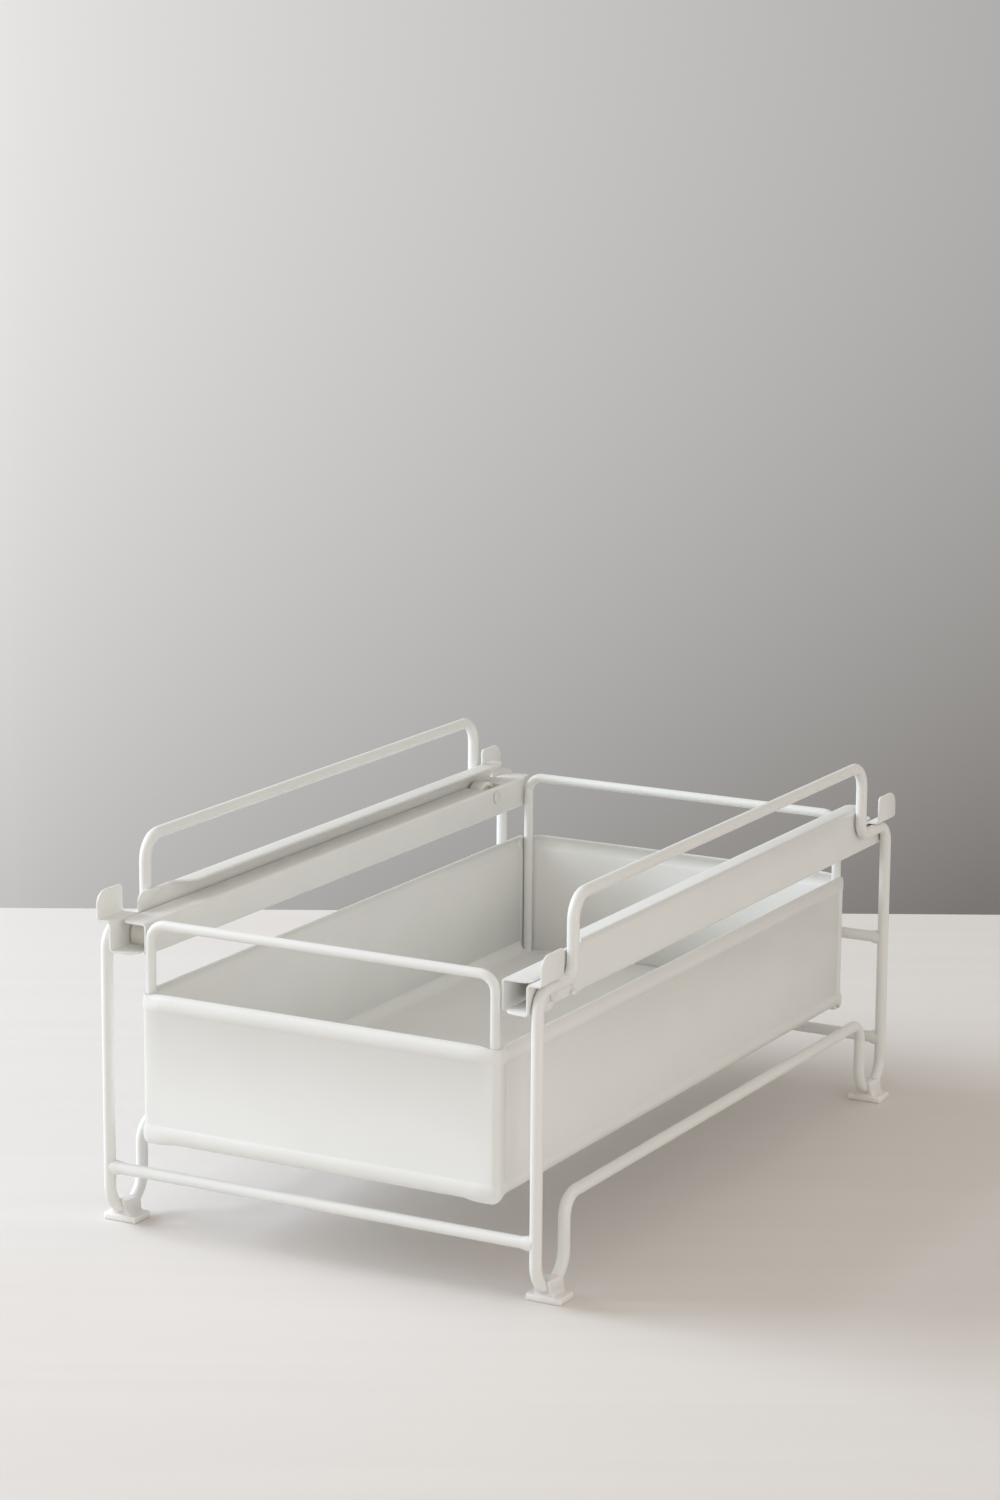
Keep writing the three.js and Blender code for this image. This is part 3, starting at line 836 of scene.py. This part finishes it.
def foot_groove(sizes, middle, floor, bore, name):
    """The space that a foot loop takes up in its cap, from the height of the wire's middle."""
    radius = sizes.foot_width / 2
    centre = Vector((middle.x, middle.y, floor + radius))
    side = centre - Vector((0, radius, 0))
    groove = start_ring(name, side, (0, 0, 1), bore, sizes.sides)
    close_ring()
    bend(math.pi, centre, (1, 0, 0), 2 * sizes.bend_steps)
    close_ring()
    return shut(groove)


def foot_clip(sizes, wire_sizes, node, name):
    """A foot cap: base plate, flared saddle and a clip with a round back over the foot loop."""
    low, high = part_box(node)
    wire_low, wire_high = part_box("right_side_frame")
    wire = wire_high.x - wire_low.x
    loop_middle = wire_high.y - wire / 2 - wire_sizes.foot_width / 2
    x, y = (low.x + high.x) / 2, math.copysign(loop_middle, low.y)
    half_base = sizes.cap_base_length / 2
    piece = start_block(name, (low.x, y - half_base, low.z), (high.x, y + half_base, sizes.cap_base))
    round_edges(sizes.cap_edge)
    shut(piece)
    half_saddle, bottom = sizes.cap_saddle_width / 2, sizes.cap_base - sizes.cap_saddle_sink
    saddle = start_block(
        name + "_saddle",
        (x - half_saddle, y - sizes.cap_saddle_front, bottom),
        (x + half_saddle, y + sizes.cap_saddle_back, sizes.cap_saddle),
    )
    pick("VERT", at(z=bottom))
    resize((sizes.cap_flare, 1, 1), (x, y, bottom))
    select_all()
    round_edges(sizes.cap_edge)
    shut(saddle)
    front, back = y - sizes.cap_clip_front, y + sizes.cap_clip_back
    half_clip, top = sizes.cap_clip_width / 2, sizes.cap_clip_top
    clip_foot = (x - half_clip, front, sizes.cap_base - sizes.cap_clip_sink)
    clip = start_block(name + "_clip", clip_foot, (x + half_clip, back, top))
    pick("VERT", lambda co: near(co.y, front) and co.z < top - TINY)
    shift((0, sizes.cap_clip_undercut, 0))
    pick("VERT", at(y=front))
    shift((0, 0, sizes.cap_clip_slant))
    fold_edge(at(y=back, z=top), sizes.cap_clip_round)
    shut(clip)
    soften(clip, sizes.cap_edge, limit=30)
    combine(piece, saddle, "UNION")
    combine(piece, clip, "UNION")
    middle = Vector((x, y, 0))
    bore = wire / 2 + sizes.cap_clearance
    groove = foot_groove(wire_sizes, middle, wire_low.z + wire / 2, bore, name + "_groove")
    combine(piece, groove, "DIFFERENCE")
    open_all()
    bpy.ops.mesh.remove_doubles(threshold=TINY)
    bpy.ops.mesh.fill_holes(sides=0)
    return shut(piece)


class ORGANIZER_OT_foot_caps(PieceOperator, bpy.types.Operator):
    """Mould the four foot caps"""

    bl_idname = "organizer.foot_caps"
    bl_label = "Foot caps"

    def model(self, scene):
        sizes, wire_sizes = scene.organizer_small, scene.organizer_wire
        for end in ENDS:
            node = f"{end}_right_foot_cap"
            right = foot_clip(sizes, wire_sizes, node, f"{end}_right_foot_clip")
            dress_sides(right, "milky_plastic", "frame", node)


def ball(name, centre, radii, planes=(), sides=24):
    """A stretched ball, or what is left of it in front of planes given by a point and a normal."""
    rings = sides // 2
    add = bpy.ops.mesh.primitive_uv_sphere_add
    piece = start(name, add, segments=sides, ring_count=rings, radius=1, scale=radii)
    shift(centre)
    for point, normal in planes:
        select_all()
        bpy.ops.mesh.bisect(plane_co=point, plane_no=normal, clear_inner=True, use_fill=True)
    return shut(piece)


def fixed_rail_sheet(sizes, name):
    """The right-hand fixed rail: web, floor flange, top flange, shelves and stacking tabs."""
    low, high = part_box("right_fixed_rail")
    half = sizes.sheet / 2
    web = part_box("right_side_frame")[0].x - sizes.weld_gap - half
    floor, shelf, top = low.z + half, sizes.shelf_top - half, sizes.rail_top - half
    end, tab = high.y, high.x - half
    tab_inner = end - sizes.tab_span
    flange_edge = web + half - sizes.flange_width
    piece = start_plate(name, (web, 0, (floor + shelf) / 2), (shelf - floor, 2 * end), (0, QUARTER, 0))
    for place in (-tab_inner, sizes.raised_front, sizes.flange_front, sizes.raised_back, tab_inner):
        slice_across(place)

    def between(value, lowest, highest):
        return lowest - TINY < value < highest + TINY

    pick("EDGE", lambda co: near(co.z, shelf) and between(co.y, sizes.raised_front, sizes.raised_back))
    run((0, 0, top - shelf))
    pick("EDGE", lambda co: near(co.z, top) and between(co.y, sizes.flange_front, sizes.raised_back))
    run((flange_edge - web, 0, 0))
    pick("VERT", at(x=flange_edge, y=sizes.flange_front))
    shift((0, sizes.flange_ramp, 0))
    pick("EDGE", lambda co: near(co.z, shelf) and between(abs(co.y), tab_inner, end))
    run((tab - web, 0, 0))
    run((0, 0, high.z - shelf))
    pick("EDGE", at(z=floor))
    run((low.x - web, 0, 0))
    for sign in (-1, 1):
        pick("VERT", at(x=low.x, y=sign * end))
        shift((0, -sign * sizes.nose_setback, 0))
    round_corner(lambda co: near(co.x, low.x) and abs(co.y) > tab_inner + TINY, sizes.corner)
    round_corner(at(z=high.z, from_middle=end), sizes.tab_corner, 8)
    round_corner(at(z=high.z, from_middle=tab_inner), sizes.tab_inner_corner)
    round_corner(at(z=top, y=sizes.raised_front), sizes.corner)
    round_corner(at(x=flange_edge, y=sizes.raised_back), sizes.corner)
    ramp_end = sizes.flange_front + sizes.flange_ramp
    round_corner(at(x=flange_edge, y=ramp_end), sizes.corner)
    on_flange = sizes.flange_front - TINY
    on_tab = tab_inner - TINY
    fold_edge(at(x=web, z=floor), sizes.fold)
    fold_edge(lambda co: near(co.x, web) and near(co.z, top) and co.y > on_flange, sizes.fold)
    fold_edge(at(x=tab, z=shelf), sizes.fold)
    fold_edge(lambda co: near(co.x, web) and near(co.z, shelf) and abs(co.y) > on_tab, sizes.fold)
    finish_sheet(piece, sizes)
    press_stop(sizes, piece, web, low.z)
    return piece


def press_stop(sizes, piece, web, underside):
    """Press the stop dent into a web, and add the weld lumps beside it and on the raised front."""
    half, outer = sizes.sheet / 2, web + sizes.sheet / 2
    bump = (sizes.stop_depth, sizes.stop_radius, sizes.stop_radius)
    foot = Vector((web, sizes.stop_place, underside))
    inward = (foot, (-1, 0, 0))
    above = (foot + Vector((0, 0, half)), (0, 0, 1))
    combine(piece, ball("stop_bump", foot, bump, (inward, above)), "UNION")
    dent = Vector((outer, sizes.stop_place, underside + sizes.dent_rise))
    hollow = (sizes.dent_depth, sizes.dent_radius, sizes.dent_radius)
    combine(piece, ball("stop_hollow", dent, hollow, (above,)), "DIFFERENCE")
    lump = sizes.weld_lump
    spots = (
        (sizes.stop_place + sizes.stop_weld, underside + lump, sizes.stop_weld_reach),
        (sizes.raised_front - sizes.nose_weld, underside + lump, sizes.nose_weld_reach),
        (sizes.raised_front + sizes.top_weld, sizes.rail_top - sizes.top_weld_drop, lump),
    )
    for along, height, reach in spots:
        centre = (outer - lump * LUMP_SINK, along, height)
        combine(piece, ball("weld_lump", centre, (lump * LUMP_FLATNESS, reach, lump)), "UNION")


class ORGANIZER_OT_fixed_rails(PieceOperator, bpy.types.Operator):
    """Fold the two fixed rails"""

    bl_idname = "organizer.fixed_rails"
    bl_label = "Fixed rails"

    def model(self, scene):
        right = fixed_rail_sheet(scene.organizer_rail, "right_fixed_rail_sheet")
        dress_sides(right, "powder_coat", "frame", "right_fixed_rail")


def drawer_rail_sheet(sizes, name):
    """The right-hand drawer rail: a web with an outward flange along its top."""
    low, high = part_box("right_drawer_rail")
    half = sizes.sheet / 2
    hoop_low, hoop_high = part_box("rear_wire_hoop")
    web, top, back = low.x + half, high.z - half, (hoop_low.y + hoop_high.y) / 2
    piece = start_plate(
        name, (web, (low.y + back) / 2, (low.z + top) / 2), (top - low.z, back - low.y), (0, QUARTER, 0)
    )
    pick("EDGE", at(z=top))
    run((high.x - web, 0, 0))
    pick("EDGE", at(y=back, z=top))
    run((0, high.y - back, 0))
    round_corner(at(x=high.x, y=low.y), sizes.corner)
    round_corner(at(x=high.x, y=high.y), sizes.corner)
    round_corner(at(x=web, z=low.z), sizes.web_corner)
    fold_edge(lambda co: near(co.x, web) and near(co.z, top) and co.y < back + TINY, sizes.drawer_fold)
    finish_sheet(piece, sizes)
    roller_low, roller_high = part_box("rear_right_roller")
    margin, reach = sizes.roller_margin, sizes.slot_reach
    slot = start_block(
        name + "_slot",
        (web + sizes.fold, roller_low.y - margin, top - reach),
        (high.x + reach, roller_high.y + margin, top + reach),
    )
    shut(slot)
    combine(piece, slot, "DIFFERENCE")
    return piece


class ORGANIZER_OT_drawer_rails(PieceOperator, bpy.types.Operator):
    """Fold the two drawer rails"""

    bl_idname = "organizer.drawer_rails"
    bl_label = "Drawer rails"

    def model(self, scene):
        right = drawer_rail_sheet(scene.organizer_rail, "right_drawer_rail_sheet")
        dress_sides(right, "powder_coat", "drawer", "right_drawer_rail")


def roller_wheel(sizes, node, name):
    """A roller with rounded tread edges and dished sides."""
    low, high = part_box(node)
    radius = (high.z - low.z) / 2
    y, z = (low.y + high.y) / 2, (low.z + high.z) / 2
    edge, dish, rim = sizes.roller_edge, sizes.roller_dish, sizes.roller_rim
    hub = sizes.roller_hub
    side = [
        (hub, 0),
        (hub + dish / 2, dish),
        (radius - edge - rim, dish),
        (radius - edge - rim + dish / 2, 0),
        (radius - edge, 0),
        (radius - edge * EDGE_SHARE, edge * EDGE_SHARE),
        (radius, edge),
    ]
    profile = [(size, low.x + place) for size, place in side]
    profile += [(size, high.x - place) for size, place in reversed(side)]
    return turned(name, profile, y, z, sizes.round_steps)


class ORGANIZER_OT_rollers(PieceOperator, bpy.types.Operator):
    """Turn the four nylon rollers"""

    bl_idname = "organizer.rollers"
    bl_label = "Rollers"

    def model(self, scene):
        for end in ENDS:
            node = f"{end}_right_roller"
            right = roller_wheel(scene.organizer_small, node, node + "_wheel")
            dress_sides(right, "nylon", f"{end}_right_wheel", node)


def rivet_profile(sizes, node, shoulder):
    """Rings of a rivet with two domed heads, from its inner to its outer end."""
    low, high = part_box(node)
    head, thick, shank = (high.z - low.z) / 2, sizes.rivet_head, sizes.shank / 2
    domed = [(head * wide, thick * deep) for wide, deep in RIVET_DOME]
    rings = [(size, low.x + place) for size, place in domed]
    rings.append((shank, low.x + thick))
    rings += shoulder
    rings.append((shank, high.x - thick))
    rings += [(size, high.x - place) for size, place in reversed(domed)]
    return rings


class ORGANIZER_OT_rivets(PieceOperator, bpy.types.Operator):
    """Turn the four rivets that the rollers run on"""

    bl_idname = "organizer.rivets"
    bl_label = "Rivets"

    def model(self, scene):
        sizes, rail = scene.organizer_small, scene.organizer_rail
        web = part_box("right_drawer_rail")[0].x + rail.sheet + rail.weld_gap
        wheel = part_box("rear_right_roller")[0].x - rail.weld_gap
        wide, slim = sizes.shoulder / 2, sizes.shank / 2
        shoulders = {"front": [], "rear": [(slim, web), (wide, web), (wide, wheel), (slim, wheel)]}
        for end, body in zip(ENDS, ("frame", "drawer")):
            node = f"{end}_right_roller_rivet"
            low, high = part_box(node)
            middle = (low + high) / 2
            rings = rivet_profile(sizes, node, shoulders[end])
            right = turned(f"{end}_right_rivet_pin", rings, middle.y, middle.z, sizes.round_steps)
            dress_sides(right, "coated_rivet", body, node)


def bead_rows(bottom, height, bulge, steps):
    """How far a bead stands out at each height, from the bottom up."""
    radius = (height**2 / 4 + bulge**2) / (2 * bulge)
    rows = []
    for step in range(steps + 1):
        offset = (step / steps - 0.5) * height
        rows.append((math.sqrt(radius**2 - offset**2) - radius + bulge, bottom + height / 2 + offset))
    return rows


def rim_rows(sizes, top):
    """The bead below a rim and the plain lip above it."""
    bottom = top - sizes.lip - sizes.bead_height
    return bead_rows(bottom, sizes.bead_height, sizes.bead_bulge, sizes.bead_steps) + [(0, top)]


def tray_wall(sizes):
    """The middle plane of the tray's right-hand side."""
    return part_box("drawer_tray")[1].x - sizes.bead_bulge - sizes.sheet / 2


def panel_seams(sizes):
    """Where the panels' returns end and the tray's sides begin, front and back."""
    reach = sizes.bead_bulge + sizes.corner + sizes.panel_return
    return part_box("drawer_front_panel")[0].y + reach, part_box("drawer_back_panel")[1].y - reach


def tray_side(sizes, name):
    """The tray's right-hand side, with a bead along its rim and its lower edge."""
    low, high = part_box("drawer_tray")
    wall = tray_wall(sizes)
    front, back = panel_seams(sizes)
    rows = bead_rows(low.z, sizes.low_bead_height, sizes.low_bead_bulge, sizes.bead_steps)
    rows += rim_rows(sizes, high.z)
    piece = start_chain(name, [Vector((wall + bulge, front, height)) for bulge, height in rows])
    run((0, back - front, 0))
    finish_sheet(piece, sizes)
    return piece


def tray_floor(sizes, name):
    """The tray's floor, turned up along the sides."""
    low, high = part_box("drawer_tray")
    front, back = panel_seams(sizes)
    level = low.z + sizes.floor_lift + sizes.sheet / 2
    radius = sizes.fillet + sizes.sheet / 2
    half = tray_wall(sizes) - radius
    piece = start_plate(name, (0, (low.y + high.y) / 2, level), (2 * half, high.y - low.y))
    slice_across(front)
    slice_across(back)
    for side in (1, -1):
        pick("EDGE", lambda co: near(co.x, side * half) and front - TINY < co.y < back + TINY)
        bend(QUARTER, (side * half, 0, level + radius), (0, -side, 0), sizes.corner_steps)
    shut(piece)
    thicken(piece, sizes.sheet)
    return piece


class ORGANIZER_OT_drawer_tray(PieceOperator, bpy.types.Operator):
    """Fold the drawer's tray"""

    bl_idname = "organizer.drawer_tray"
    bl_label = "Drawer tray"

    def model(self, scene):
        sizes = scene.organizer_drawer
        tray = tray_floor(sizes, "drawer_tray_sheet")
        right = tray_side(sizes, "right_tray_side")
        left = mirrored(right, "left_tray_side")
        gather(tray, right, left)
        dress(tray, "powder_coat", "drawer", "drawer_tray", angle=60)


def panel_stations(sizes, wall, face):
    """Places along the right half of the front panel where its beads fade round the corner.

    Each gives a point without bulge, the way outward, the share of the upper and of the lower
    bead that is left there, the drip below the edge and the share of the way to the tray's side.
    """
    radius = sizes.corner - sizes.sheet / 2
    centre = Vector((wall - radius, face + radius, 0))
    stations = []
    for before, *shares in BEAD_FADING:
        stations.append((Vector((centre.x - before * MM, face, 0)), Vector((0, -1, 0)), *shares, 0))
    for step in range(1, sizes.corner_steps + 1):
        turn = step / sizes.corner_steps
        outward = Vector((math.sin(QUARTER * turn), -math.cos(QUARTER * turn), 0))
        shares = (CORNER_UPPER, CORNER_LOWER, 1 - turn**2, CORNER_RISE * turn**2)
        stations.append((centre + outward * radius, outward, *shares))
    for share in (1 / 3, 2 / 3, 1):
        point = Vector((wall, centre.y + sizes.panel_return * share, 0))
        upper = CORNER_UPPER + (1 - CORNER_UPPER) * share
        lower = CORNER_LOWER + (SIDE_LOWER - CORNER_LOWER) * share
        rise = CORNER_RISE + (1 - CORNER_RISE) * share
        stations.append((point, Vector((1, 0, 0)), upper, lower, 0, rise))
    return stations


def panel_sheet(sizes, name):
    """The front panel: beads along its top and bottom that fade at the bent corners."""
    low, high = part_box("drawer_front_panel")
    side_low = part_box("drawer_tray")[0].z
    wall, face = tray_wall(sizes), low.y + sizes.bead_bulge + sizes.sheet / 2
    lower = bead_rows(low.z, sizes.bead_height, sizes.bead_bulge, sizes.bead_steps)
    upper = rim_rows(sizes, high.z)
    rows = lower + upper
    rim_bottom = upper[0][1]
    stations = panel_stations(sizes, wall, face)
    piece = start_chain(name, [Vector((0, face - bulge, height)) for bulge, height in rows])
    run(stations[0][0] - Vector((0, face, 0)))
    for (here, outward, *_), (there, next_outward, *_) in zip(stations, stations[1:]):
        turn = outward.angle(next_outward)
        if turn > TINY:
            radius = sizes.corner - sizes.sheet / 2
            bend(turn, here - outward * radius, (0, 0, 1), 1)
        else:
            run(there - here)
    for point, outward, upper_share, lower_share, drip, rise in stations:
        for row, (bulge, height) in enumerate(rows):
            move = outward * bulge * (upper_share - 1)
            if row >= len(lower):
                up = (height - rim_bottom) / (high.z - rim_bottom)
                move.z = -up * sizes.rim_dip * (1 - upper_share)
            else:
                up = (height - low.z) / sizes.bead_height
                target = side_low + up * sizes.low_bead_height
                move = outward * bulge * (lower_share - 1)
                move.z = rise * (target - height) - drip * sizes.drip * (1 - up)
            place = point + outward * bulge + Vector((0, 0, height))
            if move.length > TINY:
                pick("VERT", lambda co: (co - place).length < TINY)
                shift(move)
    shut(piece)
    apply_modifier(piece, "MIRROR", merge_threshold=TINY)
    thicken(piece, sizes.sheet)
    soften(piece, sizes.edge)
    return piece


def turned_about(piece, name, middle):
    """A copy that faces the other way, on the other side of a place along Y."""
    copy = mirrored(piece, name)
    open_all()
    resize((-1, -1, 1), (0, middle, 0))
    return shut(copy)


class ORGANIZER_OT_end_panels(PieceOperator, bpy.types.Operator):
    """Press the drawer's front and back panels"""

    bl_idname = "organizer.end_panels"
    bl_label = "End panels"

    def model(self, scene):
        front = panel_sheet(scene.organizer_drawer, "drawer_front_panel_sheet")
        middle = (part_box("drawer_front_panel")[0].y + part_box("drawer_back_panel")[1].y) / 2
        back = turned_about(front, "drawer_back_panel_sheet", middle)
        dress(front, "powder_coat", "drawer", "drawer_front_panel", angle=60)
        dress(back, "powder_coat", "drawer", "drawer_back_panel", angle=60)


def hoop_wire(sizes, node, name):
    """A hoop over one end of the drawer, with rounded wire ends below the panel."""
    low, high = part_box(node)
    wire = high.y - low.y
    radius = wire / 2
    x, y, top = high.x - radius, (low.y + high.y) / 2, high.z - radius
    foot = low.z + sizes.hoop_end
    points = [Vector((-x, y, foot)), Vector((-x, y, top)), Vector((x, y, top)), Vector((x, y, foot))]
    piece = start_ring(name, points[0], (0, 0, 1), radius, sizes.sides)
    follow(points, [sizes.hoop_bend, sizes.hoop_bend], sizes.bend_steps)
    dome((0, 0, -1), sizes.hoop_end, points[-1])
    pick("VERT", lambda co: near(co.z, foot) and co.x < 0)
    dome((0, 0, -1), sizes.hoop_end, points[0])
    return shut(piece)


class ORGANIZER_OT_wire_hoops(PieceOperator, bpy.types.Operator):
    """Bend the hoops over the drawer's front and back"""

    bl_idname = "organizer.wire_hoops"
    bl_label = "Wire hoops"

    def model(self, scene):
        for end in ENDS:
            node = f"{end}_wire_hoop"
            hoop = hoop_wire(scene.organizer_wire, node, node + "_bent")
            dress(hoop, "powder_coat", "drawer", node)


# Stage


def stage_camera(look):
    """The camera at the picture's viewing angle."""
    data = bpy.data.cameras.new("studio_camera")
    data.lens = look.camera_lens
    data.sensor_width = SENSOR
    camera = bpy.data.objects.new("studio_camera", data)
    bpy.context.scene.collection.objects.link(camera)
    turn = Matrix.Rotation(look.camera_turn, 4, "Z")
    tilt = Matrix.Rotation(QUARTER - look.camera_tilt, 4, "X")
    roll = Matrix.Rotation(look.camera_roll, 4, "Z")
    camera.matrix_world = Matrix.Translation(look.camera_place) @ turn @ tilt @ roll
    bpy.context.scene.camera = camera


def stage_table_and_wall(look):
    """A table that ends behind the object, and a wall beyond it."""
    ahead = Vector((-math.sin(look.camera_turn), math.cos(look.camera_turn), 0))
    stand = Vector((look.camera_place[0], look.camera_place[1], 0))
    edge = stand + ahead * look.table_edge
    half_table = look.table_width / 2
    near_corner = (-half_table, -look.table_depth, -look.table_thickness)
    table = start_block("studio_table", near_corner, (half_table, 0, 0))
    round_edges(look.table_bevel)
    shut(table)
    table.matrix_world = Matrix.Translation(edge) @ Matrix.Rotation(look.camera_turn, 4, "Z")
    table.data.materials.append(table_paint(look))
    reach = look.table_edge + look.wall_gap
    half_angle = math.atan(SENSOR / 2 / look.camera_lens)
    half_view = reach * PICTURE_SHAPE * SENSOR / 2 / look.camera_lens
    top = look.camera_place[2] - reach * math.tan(look.camera_tilt - half_angle)
    bottom = look.camera_place[2] * (1 - reach / look.table_edge)
    wall = start_plate("studio_wall", (0, 0, 0), (look.wall_width, look.wall_height))
    bpy.ops.mesh.subdivide(number_cuts=3)
    shut(wall)
    wall.matrix_world = (
        Matrix.Translation(stand + ahead * reach)
        @ Matrix.Rotation(look.camera_turn, 4, "Z")
        @ Matrix.Rotation(QUARTER, 4, "X")
    )
    wall.data.materials.append(wall_colour_and_painted_light(look, half_view, bottom, top))


def soft_light(name, place, aim, size, power, colour):
    """A square soft light that faces a point."""
    data = bpy.data.lights.new(name, "AREA")
    data.shape = "SQUARE"
    data.size = size
    data.energy = power
    data.color = colour
    light = bpy.data.objects.new(name, data)
    bpy.context.scene.collection.objects.link(light)
    light.location = place
    light.rotation_euler = (aim - light.location).to_track_quat("-Z", "Y").to_euler()


def stage_light(look):
    """Soft light from a window on the left, weaker light from the right and from all around."""
    world = bpy.data.worlds.new("studio_world")
    world.use_nodes = True
    background = world.node_tree.nodes["Background"]
    background.inputs["Color"].default_value = (*look.room, 1)
    background.inputs["Strength"].default_value = look.room_strength
    bpy.context.scene.world = world
    aim = Vector((0, 0, look.aim_height))
    window = (look.window_size, look.window_power, look.window)
    card = (look.card_size, look.card_power, look.card)
    soft_light("studio_window", look.window_place, aim, *window)
    soft_light("studio_card", look.card_place, aim, *card)


class ORGANIZER_OT_stage(PieceOperator, bpy.types.Operator):
    """Set the table, the wall, the light and the camera"""

    bl_idname = "organizer.stage"
    bl_label = "Stage"

    def model(self, scene):
        look = scene.organizer_stage
        stage_camera(look)
        stage_table_and_wall(look)
        stage_light(look)
        scene.view_settings.view_transform = "Standard"


PIECE_OPERATORS = (
    ORGANIZER_OT_side_frames,
    ORGANIZER_OT_cross_bars,
    ORGANIZER_OT_foot_caps,
    ORGANIZER_OT_fixed_rails,
    ORGANIZER_OT_drawer_rails,
    ORGANIZER_OT_rollers,
    ORGANIZER_OT_rivets,
    ORGANIZER_OT_drawer_tray,
    ORGANIZER_OT_end_panels,
    ORGANIZER_OT_wire_hoops,
    ORGANIZER_OT_stage,
)

SETTINGS = {
    "organizer_wire": WireSizes,
    "organizer_rail": RailSizes,
    "organizer_drawer": DrawerSizes,
    "organizer_small": SmallPartSizes,
    "organizer_finishes": Finishes,
    "organizer_stage": StageLook,
}


class ORGANIZER_PT_pieces(bpy.types.Panel):
    """Lists the pieces and their settings"""

    bl_idname = "ORGANIZER_PT_pieces"
    bl_label = "Storage organizer"
    bl_space_type = "VIEW_3D"
    bl_region_type = "UI"
    bl_category = "Organizer"

    def draw(self, context):
        for operator in PIECE_OPERATORS:
            self.layout.operator(operator.bl_idname)
        for name in SETTINGS:
            group = getattr(context.scene, name)
            box = self.layout.box()
            for setting in group.bl_rna.properties:
                if setting.identifier not in ("rna_type", "name"):
                    box.prop(group, setting.identifier)


CLASSES = (*SETTINGS.values(), *PIECE_OPERATORS, ORGANIZER_PT_pieces)


def register():
    for group in SETTINGS.values():
        for name, setting in group.__annotations__.items():
            setting.keywords["name"] = name.replace("_", " ").capitalize()
    for item in CLASSES:
        bpy.utils.register_class(item)
    for name, group in SETTINGS.items():
        setattr(bpy.types.Scene, name, PointerProperty(type=group))


def unregister():
    for name in SETTINGS:
        delattr(bpy.types.Scene, name)
    for item in reversed(CLASSES):
        bpy.utils.unregister_class(item)


def main():
    register()
    for operator in PIECE_OPERATORS:
        getattr(bpy.ops.organizer, operator.bl_idname.split(".")[1])()


if __name__ == "__main__":
    main()
